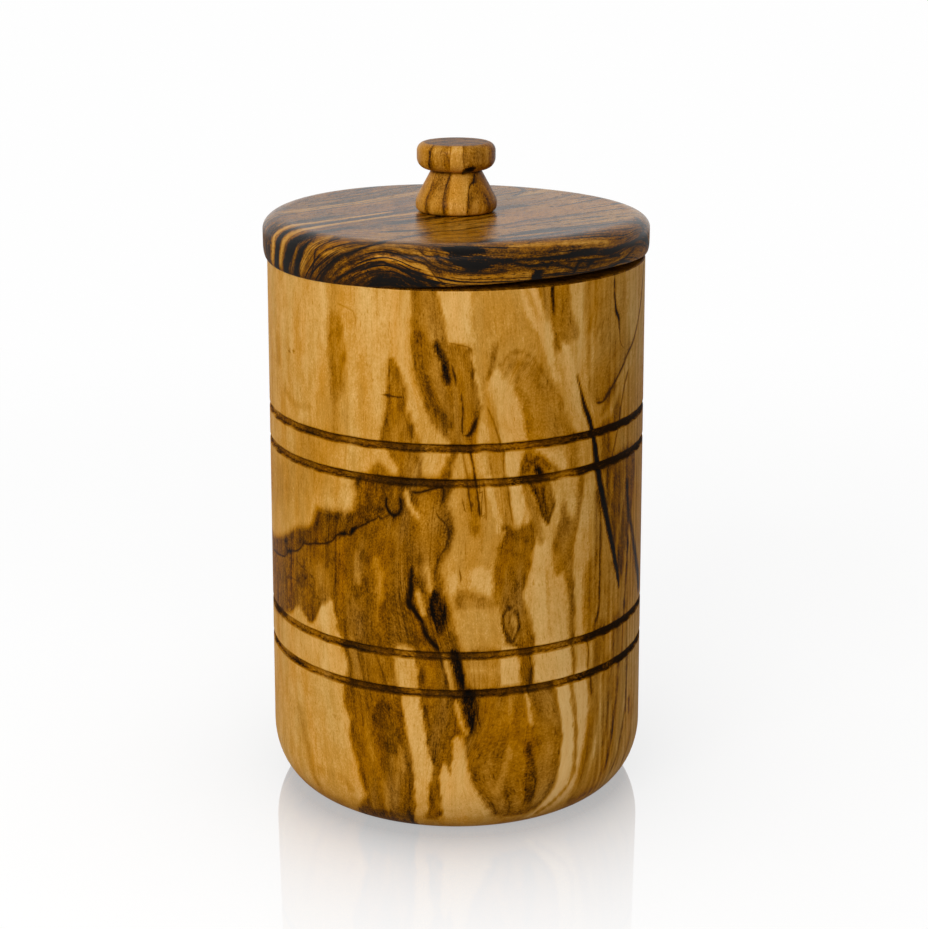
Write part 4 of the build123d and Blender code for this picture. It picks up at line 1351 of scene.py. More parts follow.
@dataclass(frozen=True)
class OliveFinish:
    """Oiled olive wood, with the figure, fibres, pores, lines and scorched grooves of one piece, its
    painted shade, and its edges lightened by rubbing and by a painted highlight.
    """

    name: str
    fine: float = 0.17
    broad: float = 0.16
    mottle: float = 0.42
    cloud: float = 0.38
    bands: float = 0.09
    pull: float = 0.5
    line_soft: float = 0.42
    pores: float = 0.1
    roughness: float = 0.5
    side_roughness: float = 0.35
    specular: float = 0.02
    relief: float = 0.035

    def make(self) -> bpy.types.Material:
        """Builds the material from the shared groups.

        The tone is the laid one with the fibres' shade, which is stronger where it is darker.
        Fibres pull an edge aside by its slope times their shift.

        Returns:
            The material.
        """
        material, board = new_material(self.name)
        grain = board.field("grain", "Vector")
        fibres = FibreGrain.place(board, grain=grain, fine=self.fine, broad=self.broad,
                                  mottle=self.mottle, cloud=self.cloud,
                                  bands=self.bands).outputs
        slope = board.sum("MULTIPLY", board.field("tone_slope"), self.pull)
        plain = board.field("tone")
        shade = board.sum("MULTIPLY", fibres["Shade"], board.sum("MULTIPLY_ADD", plain, 1.5, 0.27))
        tone = board.sum("ADD", plain, shade)
        tone = board.sum("MULTIPLY_ADD", slope, fibres["Shift"], tone)
        tone = board.sum("MULTIPLY_ADD", fibres["Pores"], self.pores, tone)
        worn_and_lit = EdgeWearAndHighlight.place(board, tone=tone, wear=board.field("wear"), grain=grain).outputs
        lines = ThinLines.place(
            board, tone=worn_and_lit["Tone"], offset=board.field("line_offset", "Vector"),
            half=board.field("line_half", "Vector"), depth=board.field("line_depth", "Vector"),
            grain=grain, soft=self.line_soft).outputs
        # This field darkens the scorched grooves, and also carries painted shade on the lid and the knob.
        burnt = ScorchAndShade.place(board, tone=lines["Tone"], burn=board.field("burn"),
                             grain=grain).outputs
        colour = OliveColour.place(board, tone=burnt["Tone"], grain=grain).outputs[0]
        height = board.sum("MULTIPLY_ADD", lines["Cover"], -0.5, fibres["Height"])
        height = board.sum("MULTIPLY_ADD", burnt["Cover"], -0.25, height)
        rough = board.sum("MULTIPLY_ADD", fibres["Height"], -0.12, self.roughness)
        rough = board.sum("MULTIPLY_ADD", worn_and_lit["Rubbed_and_lit"], -0.06, rough)
        rough = board.sum("MULTIPLY_ADD", burnt["Cover"], 0.2, rough)
        rough = board.sum("MULTIPLY_ADD", board.field("matt"), self.side_roughness, rough)
        board.coat({"Base Color": colour, "Roughness": rough, "Specular IOR Level": self.specular,
                    "Normal": board.bump(0.6, self.relief, height)})
        return material


@dataclass(frozen=True)
class RubberFinish:
    """Matt black rubber with a fine moulded grain."""

    name: str = "seal_rubber"
    roughness: float = 0.6
    relief: float = 0.03

    def make(self) -> bpy.types.Material:
        """Builds the material: near black, greyer where dust lies, and lightly pitted.

        Returns:
            The material.
        """
        material, board = new_material(self.name)
        place = board.object_place()
        pits = board.noise(place, (0.25 * MM, 0.25 * MM, 0.25 * MM), 2.0)
        dust = board.noise(place, (5 * MM, 5 * MM, 2 * MM), 3.0, 0.6)
        dark, pale = linear(30, 29, 28), linear(52, 50, 47)
        colour = board.tint(board.ramp(dust, -0.05, 0.3), dark, pale)
        rough = board.sum("MULTIPLY_ADD", dust, 0.3, self.roughness)
        board.coat({"Base Color": colour, "Roughness": rough,
                    "Normal": board.bump(0.4, self.relief, pits)})
        return material


@dataclass(frozen=True)
class SteelFinish:
    """Zinc-plated steel, turned to a fine ring pattern."""

    name: str = "screw_steel"
    roughness: float = 0.34
    relief: float = 0.01

    def make(self) -> bpy.types.Material:
        """Builds the material: bright metal with ring scratches and a dull bloom.

        The scratches run round the screw: their noise is read at the distance from its axis,
        the root of x squared plus y squared.

        Returns:
            The material.
        """
        material, board = new_material(self.name)
        place = board.object_place()
        parts = board.add("ShaderNodeSeparateXYZ", {0: place}).outputs
        wide = board.sum("SQRT", board.sum(
            "ADD", board.sum("POWER", parts[0], 2.0), board.sum("POWER", parts[1], 2.0)))
        rings = board.add("ShaderNodeCombineXYZ", {0: wide, 2: parts[2]}).outputs[0]
        scratch = board.noise(rings, (0.06 * MM, 1.0, 0.3 * MM), 3.0, 0.7)
        bloom = board.noise(place, (1.5 * MM, 1.5 * MM, 1.5 * MM), 3.0, 0.6)
        colour = board.tint(board.ramp(bloom, -0.1, 0.3), linear(196, 196, 194),
                            linear(160, 158, 152))
        rough = board.sum("MULTIPLY_ADD", bloom, 0.3, self.roughness)
        board.coat({"Base Color": colour, "Metallic": 1.0, "Roughness": rough,
                    "Normal": board.bump(0.5, self.relief, scratch)})
        return material


BACKDROP = 0.992


@dataclass(frozen=True)
class FloorFinish:
    """A smooth white board that mirrors the jar, ever more faintly away from it.

    The camera and the mirrored view see the board lifted to white, less the jar's shadow. Far
    off it runs over into the plain backdrop. Lengths are in metres.
    """

    name: str = "white_floor"
    roughness: float = 0.035
    lift: float = 0.83
    mirror: float = 0.5
    mirror_start: float = 0.043
    mirror_fade: float = 0.024
    far_start: float = 0.13
    far_end: float = 0.5
    backdrop: float = BACKDROP

    def make(self) -> bpy.types.Material:
        """Builds the material: a white board, its lift, and a mirror that fades outwards.

        The mirror's share is mirror times e to the power of (start minus distance) over fade,
        and never more than mirror.

        Returns:
            The material.
        """
        material, board = new_material(self.name)
        place = board.object_place()
        away = board.add("ShaderNodeVectorMath", {0: place}, operation="LENGTH").outputs["Value"]
        cloud = board.noise(place, (0.2, 0.2, 0.2), 2.0)
        colour = board.tint(board.ramp(cloud, -0.3, 0.3), linear(134, 134, 133),
                            linear(138, 138, 138))
        seen = board.seen()
        diffuse = board.add("ShaderNodeBsdfPrincipled", {
            "Base Color": colour, "Roughness": 0.9, "Specular IOR Level": 0.0,
            "Emission Color": (1.0, 1.0, 1.0, 1.0),
            "Emission Strength": board.sum("MULTIPLY", seen, self.lift)}).outputs[0]
        backdrop = board.add("ShaderNodeEmission", {"Strength": self.backdrop}).outputs[0]
        far = board.sum("MULTIPLY", board.ramp(away, self.far_start, self.far_end), seen)
        white = board.add("ShaderNodeMixShader", {0: far, 1: diffuse, 2: backdrop}).outputs[0]
        past = board.sum("DIVIDE", board.sum("SUBTRACT", self.mirror_start, away),
                         self.mirror_fade)
        share = board.sum("MULTIPLY", board.sum("EXPONENT", past), self.mirror)
        share = board.sum("MINIMUM", share, self.mirror)
        gloss = board.add("ShaderNodeBsdfAnisotropic", {"Roughness": self.roughness}).outputs[0]
        inputs = {0: board.sum("MULTIPLY", share, seen), 1: white, 2: gloss}
        board.add("ShaderNodeOutputMaterial",
                  {"Surface": board.add("ShaderNodeMixShader", inputs).outputs[0]})
        return material


# Turned shapes


def rounded_profile(corners: Sequence[Point], arc_steps: int) -> np.ndarray:
    """A turned piece's half-profile with its corners rounded.

    At a corner with a rounding r, the arc's centre lies on the corner's bisector, r over the
    sine of half the angle away, and the arc runs between the two points where it meets the
    sides.

    Args:
        corners: (radius, height, rounding) of each corner, in order along the profile.
        arc_steps: how many steps each arc gets.

    Returns:
        The profile's points as rows of (radius, height).
    """
    rows = [np.array(corners[0][:2], float)[None]]
    for before, here, after in zip(corners, corners[1:], corners[2:]):
        corner = np.array(here[:2], float)
        back = np.array(before[:2], float) - corner
        on = np.array(after[:2], float) - corner
        back, on = back / np.hypot(*back), on / np.hypot(*on)
        if here[2] <= 0.0:
            rows.append(corner[None])
            continue
        half = math.acos(float(np.clip(back @ on, -1.0, 1.0))) / 2.0
        bisector = (back + on) / np.hypot(*(back + on))
        centre = corner + bisector * here[2] / math.sin(half)
        start = corner + back * here[2] / math.tan(half) - centre
        end = corner + on * here[2] / math.tan(half) - centre
        swing = math.atan2(start[0] * end[1] - start[1] * end[0], start @ end)
        angles = math.atan2(start[1], start[0]) + np.linspace(0.0, swing, arc_steps + 1)
        rows.append(centre + here[2] * np.stack([np.cos(angles), np.sin(angles)], 1))
    rows.append(np.array(corners[-1][:2], float)[None])
    return np.vstack(rows)


def quarter(steps: int) -> np.ndarray:
    """The angles of a quarter turn, in even steps."""
    return np.linspace(0.0, math.pi / 2.0, steps + 1)


def round_angles(count: int) -> np.ndarray:
    """Evenly spread angles once round, from the front towards the right."""
    return np.arange(count) / count * FULL_TURN


def divided(profile: np.ndarray, spacing: Callable[[np.ndarray], float]) -> np.ndarray:
    """The profile with its long stretches divided.

    Args:
        profile: the profile's points as rows of (radius, height).
        spacing: gives the wanted distance between points at a place.

    Returns:
        The profile with the points between, evenly spread on each stretch.
    """
    rows = []
    for start, end in zip(profile[:-1], profile[1:]):
        length = float(np.hypot(*(end - start)))
        count = max(1, int(round(length / spacing((start + end) / 2.0))))
        rows.append(start + (end - start) * np.arange(count)[:, None] / count)
    rows.append(profile[-1:])
    return np.vstack(rows)


def turned_points(profile: np.ndarray, turn: np.ndarray) -> np.ndarray:
    """Rings of points round the turning axis.

    A profile point (r, z) at the angle t from the front towards the right stands at
    x = r times sine t, y = minus r times cosine t and z.

    Args:
        profile: the profile's points as rows of (radius, height).
        turn: the angle of each column.

    Returns:
        A grid of points, one ring to a row.
    """
    radius, height = profile[:, 0, None], profile[:, 1, None]
    x = radius * np.sin(turn)
    y = -radius * np.cos(turn)
    return np.stack([x, y, np.broadcast_to(height, x.shape)], -1)


@dataclass
class Shell:
    """A closed turned surface: rings of points, with a pole at an end or the ends joined."""

    name: str
    rings: np.ndarray
    fields: Fields
    poles: bool = True
    sharp_angle: float = 40.0

    def faces(self) -> tuple[np.ndarray, np.ndarray]:
        """The corners of every face, and where each face starts.

        Ring i and ring i + 1 give one quad for each column. With poles, the first and last
        rings have one point each, and their neighbours close on them in triangles. Otherwise
        the last ring joins the first.

        Returns:
            The numbers of the corners, face after face, and the place of each face's first.
        """
        count, columns = self.rings.shape[:2]
        ids = np.arange(count * columns).reshape(count, columns)
        lower, upper = ids, np.roll(ids, -1, 0)
        if self.poles:
            lower, upper = ids[1:-2], ids[2:-1]
        quads = np.stack([lower, np.roll(lower, -1, 1), np.roll(upper, -1, 1), upper], -1)
        corners = quads.reshape(-1)
        starts = np.arange(0, len(corners), 4)
        if self.poles:
            first = np.stack([np.full(columns, ids[0, 0]), np.roll(ids[1], -1), ids[1]], -1)
            last = np.stack([np.full(columns, ids[-1, 0]), ids[-2], np.roll(ids[-2], -1)], -1)
            fans = np.vstack([first, last]).reshape(-1)
            starts = np.concatenate([starts, len(corners) + np.arange(0, len(fans), 3)])
            corners = np.concatenate([corners, fans])
        return corners, starts

    def build(self, finish: bpy.types.Material) -> bpy.types.Object:
        """Makes the mesh and object, with its fields, its smooth shading and its finish.

        The fields stay in step with the points: those of the unused copies at a pole are
        dropped together with the copies themselves.

        Args:
            finish: the material of the whole surface.

        Returns:
            The object, which stands at the origin.
        """
        corners, starts = self.faces()
        points = self.rings.reshape(-1, 3) * MM
        used = np.zeros(len(points), bool)
        used[corners] = True
        fresh = np.cumsum(used) - 1
        corners = fresh[corners]
        points = points[used]
        mesh = bpy.data.meshes.new(self.name)
        mesh.vertices.add(len(points))
        mesh.vertices.foreach_set("co", points.ravel().astype(np.float32))
        mesh.loops.add(len(corners))
        mesh.loops.foreach_set("vertex_index", corners.astype(np.int32))
        mesh.polygons.add(len(starts))
        mesh.polygons.foreach_set("loop_start", starts.astype(np.int32))
        mesh.polygons.foreach_set("use_smooth", np.ones(len(starts), bool))
        mesh.update(calc_edges=True)
        for name, values in self.fields.items():
            flat = values.reshape(len(used), -1)[used]
            kind, slot = ("FLOAT", "value") if flat.shape[1] == 1 else ("FLOAT_VECTOR", "vector")
            layer = mesh.attributes.new(name, kind, "POINT")
            layer.data.foreach_set(slot, flat.ravel().astype(np.float32))
        mesh.set_sharp_from_angle(angle=math.radians(self.sharp_angle))
        mesh.materials.append(finish)
        piece = bpy.data.objects.new(self.name, mesh)
        bpy.context.scene.collection.objects.link(piece)
        return piece


def dress(piece: bpy.types.Object, body: str, node: str) -> None:
    """Ties a piece to the CAD and reports it.

    Args:
        piece: the dressed mesh.
        body: the CAD body that it rides with.
        node: the CAD node whose place it takes.
    """
    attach(piece, body)
    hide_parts(node)
    LOG.info("%s: %d faces, in place of %s", piece.name, len(piece.data.polygons), node)


def slope_across(tone: np.ndarray, steps: np.ndarray) -> np.ndarray:
    """How fast the tone changes round each ring, from its neighbours on both sides.

    Args:
        tone: the tone at each point, one ring to a row.
        steps: the way from each point to the next on its ring, in millimetres.

    Returns:
        The change of tone for each millimetre.
    """
    change = np.roll(tone, -1, 1) - np.roll(tone, 1, 1)
    return change / (steps + np.roll(steps, 1, 1))


# Pieces


@dataclass
class JarBody:
    """The jar: a turned block with a blind bore, a rounded foot and two pairs of grooves.

    groove_rows are the heights, from a groove's middle, at which the side has rings near it:
    within cleared of it they stand in for the even ones.
    """

    rim_radius: float = 45.0
    base_flare: float = 1.18
    height: float = 132.2
    foot_wide: float = 9.8
    foot_high: float = 13.9
    wall: float = 7.5
    floor: float = 12.0
    bore_rounding: float = 6.0
    outer_break: float = 0.5
    inner_break: float = 0.8
    grooves: tuple[float, ...] = (96.35, 88.25, 46.95, 37.65)
    groove_width: float = 2.0
    groove_depth: float = 0.8
    mark_lift: float = 2.0
    base_tone: float = 0.27
    rim_painted_shade: float = 0.78
    foot_painted_shade: float = 0.13
    bore_tone: float = 0.05
    seed: int = 5
    columns: int = 392
    front_gap: float = 0.43
    front_reach: Point = (52.0, 78.0)
    ring_gap: float = 0.92
    bore_gap: float = 6.0
    base_gap: float = 4.0
    outer_side: float = 44.0
    middle_side: float = 33.0
    groove_rows: tuple[float, ...] = (0.15, 0.45, 0.72, 0.9, 1.0, 1.3)
    cleared: float = 1.6
    cut_reach: float = 1.2
    rim_inside: float = 36.0
    burn_reach: Point = (0.6, 1.3)
    floor_heat: float = 0.62
    lip_heat: float = 0.4
    lip_place: float = 0.8
    lip_spread: float = 0.28
    right_heat: float = 0.6
    right_side: tuple[float, ...] = (24.0, 40.0, 60.0, 80.0)
    finish: OliveFinish = field(default_factory=lambda: OliveFinish("jar_olive_wood"))

    def angles(self) -> np.ndarray:
        """The columns' angles: close together at the front, and wider apart behind.

        The gap between columns grows by an S-shaped ramp over front_reach, and the columns
        stand at even shares of the sum of one over the gap.

        Returns:
            The angle of each column, from the back round the left, front and right.
        """
        across = np.linspace(-FLAT_TURN / 2.0, FLAT_TURN / 2.0, 4001)
        density = 1.0 / (self.front_gap + smooth_step(*self.front_reach, np.abs(across)))
        gone = np.concatenate([[0.0], np.cumsum((density[1:] + density[:-1]) / 2.0)])
        places = np.interp(np.arange(self.columns) / self.columns * gone[-1], gone, across)
        return places / FLAT_RADIUS

    def spacing(self, place: np.ndarray) -> float:
        """The gap between rings: fine outside, and coarse in the bore and under the base.

        Args:
            place: the radius and height of a place on the profile.

        Returns:
            The gap there, in millimetres.
        """
        if place[0] > self.outer_side:
            return self.ring_gap
        return self.bore_gap if place[1] > 1.0 else self.base_gap

    def profile(self) -> np.ndarray:
        """The half-profile from the middle of the base to the middle of the bore's floor.

        The foot is a quarter ellipse. Each groove takes the segment of a circle out of the
        side, so it is as deep as the circle's height above its chord, and its radius is half
        the width squared plus the depth squared, over twice the depth.

        Returns:
            The profile's points as rows of (radius, height).
        """
        base = self.rim_radius + self.base_flare
        bore = self.rim_radius - self.wall
        swing = quarter(16)[:-1]
        foot = np.stack([base - self.foot_wide * (1.0 - np.sin(swing)),
                         self.foot_high * (1.0 - np.cos(swing))], 1)
        corners = (
            (base, self.foot_high, 0.0),
            (self.rim_radius, self.height, self.outer_break),
            (bore, self.height, self.inner_break),
            (bore, self.floor, self.bore_rounding),
            (0.0, self.floor, 0.0),
        )
        middle = np.zeros((1, 2))
        trace = divided(np.vstack([middle, foot, rounded_profile(corners, 14)]), self.spacing)
        side = (trace[:, 0] > self.rim_radius - 0.1) & (trace[:, 1] > self.foot_high)
        above = np.array(self.groove_rows)
        rows = np.concatenate([-above[::-1], above])
        keep = np.ones(len(trace), bool)
        extra = []
        for groove in self.grooves:
            keep &= ~(side & (np.abs(trace[:, 1] - groove) < self.cleared))
            heights = groove + rows
            share = (heights - self.foot_high) / (self.height - self.foot_high)
            radii = base + (self.rim_radius - base) * share
            extra.append(np.stack([radii, heights], 1))
        last = np.nonzero(side)[0][-1]
        outer = np.vstack([trace[: last + 1][keep[: last + 1]], *extra])
        outer = outer[np.argsort(outer[:, 1], kind="stable")]
        nose = (self.groove_width**2 / 4 + self.groove_depth**2) / (2 * self.groove_depth)
        for groove in self.grooves:
            off = outer[:, 1] - groove
            cut = np.sqrt(np.maximum(nose**2 - off**2, 0.0)) - (nose - self.groove_depth)
            outer[:, 0] -= np.where(np.abs(off) < self.cut_reach, np.maximum(cut, 0.0), 0.0)
        return np.vstack([outer, trace[last + 1:]])

    # On the jar this field holds only the scorched grooves; the lid and the knob carry painted shade in
    # the same field.
    def burn(self, height: np.ndarray, outside: np.ndarray, across: np.ndarray) -> np.ndarray:
        """How scorched the wood is: most at a groove's lips, less on its floor, fading past them.

        The rise at a lip is bell-shaped: e to the power of minus the square of the distance
        from the lip over the rise's spread. The heat wanders slowly round the jar, and is
        higher at the right.

        Args:
            height: the height of each point.
            outside: 1 on the outer side and 0 elsewhere.
            across: the unrolled way of each point from the front towards the right.

        Returns:
            The burn at each point, 0 for none.
        """
        total = np.zeros(height.shape)
        for place, groove in enumerate(self.grooves):
            wander = 0.1 * ripple(across, height, 70 + place, 9.0, 400.0)
            off = np.abs(height - groove + wander)
            near_groove = 1.0 - smooth_step(*self.burn_reach, off)
            from_lip = (off - self.lip_place) / self.lip_spread
            heat = self.floor_heat + self.lip_heat * np.exp(-(from_lip**2))
            heat += 0.14 * ripple(across, height * 0.0, 80 + place, 26.0, 1.0)
            heat += self.right_heat * smooth_step(24.0, 44.0, across)
            total = np.maximum(total, near_groove * heat)
        return total * outside

    def shade(self, tone: np.ndarray, across: np.ndarray, height: np.ndarray,
              radius: np.ndarray, outside: np.ndarray) -> np.ndarray:
        """The laid tone with broad changes added: some are the wood's own, and some are painted shade.

        The right side is darkened with painted shade, most in the middle of its height, and has brown
        stripes of the wood. The top is paler. The foot is darkened with painted shade towards its bottom
        edge, more at the sides. The rim's top is painted dark as the shade in the gap under the lid, and
        the bore has a tone of its own.

        Args:
            tone: the laid tone of each point.
            across: the unrolled way of each point from the front towards the right.
            height: its height.
            radius: its distance from the turning axis.
            outside: 1 on the outer side and 0 elsewhere.

        Returns:
            The shaded tone of each point.
        """
        tone = tone + np.where(outside > 0.5, 0.0, self.bore_tone)
        # Painted shade: the right side, away from the lamps, is darkened, most in the middle of its
        # height, with brown stripes of the wood laid over it.
        start, full, last, end = self.right_side
        right = smooth_step(start, full, across) * (1.0 - smooth_step(last, end, across))
        stripes = ripple(across, height, 31, 3.4, 220.0)
        stripes += 0.6 * ripple(across, height, 32, 1.6, 140.0)
        middle = smooth_step(40.0, 54.0, height) * (1.0 - smooth_step(94.0, 110.0, height))
        tone = tone + right * (0.02 + 0.09 * middle + 0.075 * stripes)
        tone = tone - 0.04 * smooth_step(106.0, 126.0, height)
        # Painted shade: the foot darkens towards its bottom edge, and more at the sides.
        under = self.foot_painted_shade + 0.12 * smooth_step(22.0, 40.0, np.abs(across))
        tone = tone + under * (1.0 - smooth_step(0.5, 9.0, height)) * (radius > self.middle_side)
        # Painted shade: the rim's top is painted dark, as the shade in the gap under the lid.
        on_rim = (height > self.height - 0.3) & (radius > self.rim_inside)
        return np.where(on_rim, self.rim_painted_shade, tone)

    def build(self) -> bpy.types.Object:
        """Turns the jar and lays its figure on the side, rim, bore and base.

        Returns:
            The dressed jar.
        """
        turn = self.angles()
        profile = self.profile()
        rings = turned_points(profile, turn)
        shape = rings.shape[:2]
        across = np.broadcast_to(turn * FLAT_RADIUS, shape)
        height = np.broadcast_to(profile[:, 1, None], shape)
        radius = np.broadcast_to(profile[:, 0, None], shape)
        low = height + self.mark_lift
        inner = self.rim_radius - radius
        first = np.argmax(profile[:, 0] > self.outer_side)
        outside = np.zeros(shape)
        rim = np.nonzero(profile[:, 1] > self.height - 1.0)[0][0]
        outside[first:rim] = 1.0
        inwards = self.middle_side - radius
        along = np.where(inwards > 0.0, low - inwards * 0.2, low)
        fields = Figure(JAR_MARKS, self.base_tone, FLAT_TURN, seed=self.seed).lay(across, along)
        number = JAR_FIBRES.number(across, low)
        tone = self.shade(fields["tone"], across, height, radius, outside)
        step = (np.roll(turn, -1) - turn) % FULL_TURN * FLAT_RADIUS
        fields["tone"] = tone
        fields["tone_slope"] = slope_across(tone, np.broadcast_to(step, shape))
        fields["line_half"] = fields["line_half"] * (0.5 + 0.5 * outside[..., None])
        fields["grain"] = np.stack([number, inner, low], -1)
        fields["burn"] = self.burn(height, outside, across)
        # Rubbing and a painted highlight lighten the top edge of the rim.
        rubbed_and_lit = smooth_step(-1.6, -0.2, height - self.height)
        fields["wear"] = rubbed_and_lit * (radius > self.rim_inside)
        piece = Shell("jar_body_wood", rings, fields).build(self.finish.make())
        dress(piece, "jar", "jar_body")
        return piece


@dataclass
class Lid:
    """The lid: a plate that has dried into a slight twist, with its spigot and seal groove."""

    radius: float = 45.9
    seat: float = 132.2
    thickness: float = 9.8
    top_rounding: Point = (5.2, 3.4)
    under_rounding: Point = (0.8, 2.9)
    clearance: float = 0.1
    corner_radius: float = 45.0
    front_right_lift: float = 1.7
    back_left_lift: float = 0.8
    spigot_radius: float = 36.9
    spigot_foot: float = 123.2
    spigot_lead: float = 1.0
    groove_top: float = 130.2
    groove_foot: float = 126.2
    groove_floor: float = 35.3
    hole: float = 2.2
    sink: float = 3.85
    sink_foot: float = 123.6
    sink_top: float = 125.8
    knob_seat: float = 9.5
    flat_rings: int = 44
    plain_rings: int = 9
    rim_twist: float = 0.35
    lip_waves: tuple[float, ...] = (0.27, 1.07, 0.18, 0.58)
    base_tone: float = 0.58
    added_tone: float = 0.05
    edge_tone: float = 0.08
    under_painted_shade: float = 0.93
    seed: int = 23
    waver: float = 0.2
    columns: int = 512
    finish: OliveFinish = field(default_factory=lambda: OliveFinish(
        "lid_olive_wood", fine=0.26, mottle=0.5, cloud=0.5, bands=0.85, pores=0.4, line_soft=0.28,
        roughness=0.27, specular=0.09, relief=0.03))

    def lift(self, x: np.ndarray, y: np.ndarray) -> np.ndarray:
        """How far the flat underside stands off the rim's plane, as in the CAD lid.

        Each corner's lift fades in a straight line along x and along y.

        Args:
            x: how far to the right of the axis each point is.
            y: how far behind it.

        Returns:
            The height of each point over the rim's plane.
        """
        corner = self.corner_radius / math.sqrt(2.0)
        front_right = self.front_right_lift * (1 + x / corner) * (1 - y / corner) / 4
        back_left = self.back_left_lift * (1 - x / corner) * (1 + y / corner) / 4
        return self.clearance + front_right + back_left

    def lip(self, turn: np.ndarray) -> np.ndarray:
        """How far the overhanging lip stands off the rim's plane, round the lid.

        It is the sum of a twist, twice round, and a tilt, once round, and it keeps near to
        the flat underside.

        Args:
            turn: the angle of each column.

        Returns:
            The lip's height over the rim's plane at each angle.
        """
        level, twice, sideways, forwards = self.lip_waves
        wanted = (level + twice * np.sin(2 * turn) + sideways * np.sin(turn)
                  + forwards * np.cos(turn))
        x, y = self.radius * np.sin(turn), -self.radius * np.cos(turn)
        flat = self.lift(x, y)
        return np.clip(wanted, flat - 0.65, flat + 0.1)

    def parts(self) -> tuple[np.ndarray, np.ndarray]:
        """The profile's points, and which of them belong to the twisted underside.

        Both roundings are quarter ellipses: the cosine and sine of one angle, times the
        rounding's width and height.

        Returns:
            The points as rows of (radius, height), and for each one 0 on the seen side, 1 on
            the underside that rests on the rim and 2 on the spigot.
        """
        top = self.seat + self.thickness
        angle = quarter(18)[1:]
        wide, high = self.top_rounding
        over = np.stack([self.radius - wide + wide * np.sin(angle),
                         top - high + high * np.cos(angle)], 1)
        low, drop = self.under_rounding
        small = quarter(8)[1:]
        under = np.stack([self.radius - low + low * np.cos(small),
                          self.seat + drop - drop * np.sin(small)], 1)
        under[-1, 0] = self.radius - low + 0.06
        flat = np.stack([np.linspace(7.76, self.radius - wide - 0.8, self.flat_rings),
                         np.full(self.flat_rings, top)], 1)
        start = np.array([(self.hole, self.sink_top), (self.hole, top - 0.4), (self.hole, top),
                          (4.0, top)])
        edge = np.array([(self.radius - wide, top)])
        rows = self.plain_rings
        side = np.stack([np.full(rows, self.radius),
                         np.linspace(top - high, self.seat + drop, rows + 2)[1:-1]], 1)
        skirt = np.array([(self.radius, self.seat + drop)])
        face = np.stack([np.linspace(self.radius - low, self.spigot_radius, rows),
                         np.full(rows, self.seat)], 1)
        foot = self.spigot_foot
        below = np.array([
            (self.spigot_radius, self.groove_top),
            (self.groove_floor, self.groove_top),
            (self.groove_floor, self.groove_foot),
            (self.spigot_radius, self.groove_foot),
            (self.spigot_radius, foot + self.spigot_lead),
            (self.spigot_radius - self.spigot_lead, foot),
            (30.0, foot), (22.0, foot), (14.0, foot), (8.0, foot),
            (self.sink, foot),
            (self.sink, self.sink_foot),
        ])
        stages = (start, flat, edge, over, side, skirt, under, face, below)
        kinds = (0, 0, 0, 0, 0, 0, 0, 1, 2)
        kind = np.concatenate([np.full(len(s), k) for s, k in zip(stages, kinds)])
        return np.vstack(stages), kind

    def rise(self, rings: np.ndarray, radius: np.ndarray, turn: np.ndarray,
             kind: np.ndarray) -> np.ndarray:
        """How far the twist lifts each point of the level lid.

        The seen side is lifted by the top's twist and the lip's, mixed by how high the point
        is in the plate. The spigot and the seat of the knob stay where they are.

        Args:
            rings: the points of the level lid.
            radius: the distance of each one from the axis.
            turn: the angle of each column.
            kind: 0 on the seen side, 1 on the underside and 2 on the spigot.

        Returns:
            The lift of each point.
        """
        share = np.clip((rings[..., 2] - self.seat) / self.thickness, 0.0, 1.0)
        outwards = np.maximum(radius - self.knob_seat, 0.0) / (self.radius - self.knob_seat)
        twist = self.rim_twist * np.sin(2 * turn) * outwards**2
        moved = share * twist + (1.0 - share) * self.lip(turn)
        seen = np.where((kind == 0) & (radius > self.knob_seat), moved, 0.0)
        return np.where(kind == 1, self.lift(rings[..., 0], rings[..., 1]), seen)

    def slope(self, tone: np.ndarray, turn: np.ndarray, way: np.ndarray) -> np.ndarray:
        """How fast the tone changes across the fibres, which run from left to right.

        It is the sine of the angle times the slope round the lid, less the cosine times the
        slope outwards.

        Args:
            tone: the tone at each point, one ring to a row.
            turn: the angle of each column.
            way: the way of each ring from the middle, over the edge.

        Returns:
            The change of tone for each millimetre towards the back.
        """
        round_slope = (np.roll(tone, -1, 1) - np.roll(tone, 1, 1)) / 2.0
        round_slope /= np.maximum(way[:, None], 2.0) * FULL_TURN / self.columns
        out_step = np.gradient(way)
        out_step = np.where(np.abs(out_step) < 0.05, 0.05, out_step)
        out_slope = np.gradient(tone, axis=0) / out_step[:, None]
        return np.sin(turn) * round_slope - np.cos(turn) * out_slope

    def build(self) -> bpy.types.Object:
        """Turns the lid, twists it, and lays its figure flat over the top and the edge.

        The way over the top and down the edge is the figure's distance from the middle.

        Returns:
            The dressed lid.
        """
        turn = round_angles(self.columns)
        profile, kind = self.parts()
        rings = turned_points(profile, turn)
        radius = np.broadcast_to(profile[:, 0, None], rings.shape[:2])
        rings[..., 2] += self.rise(rings, radius, turn, kind[:, None])
        steps = np.hypot(*np.diff(profile, axis=0).T)
        way = np.concatenate([[0.0], np.cumsum(steps)])
        top_start = np.nonzero(profile[:, 1] >= self.seat + self.thickness - 1e-6)[0][1]
        way = way - way[top_start] + profile[top_start, 0]
        seen = kind == 0
        way = np.where(seen, np.maximum(way, 0.0), profile[:, 0])
        across = way[:, None] * np.sin(turn)
        along = -way[:, None] * np.cos(turn)
        figure = Figure(LID_MARKS, self.base_tone, seed=self.seed, waver=self.waver)
        fields = figure.lay(across, along)
        tone = fields["tone"] + self.added_tone + self.edge_tone * smooth_step(40.0, 45.0, radius)
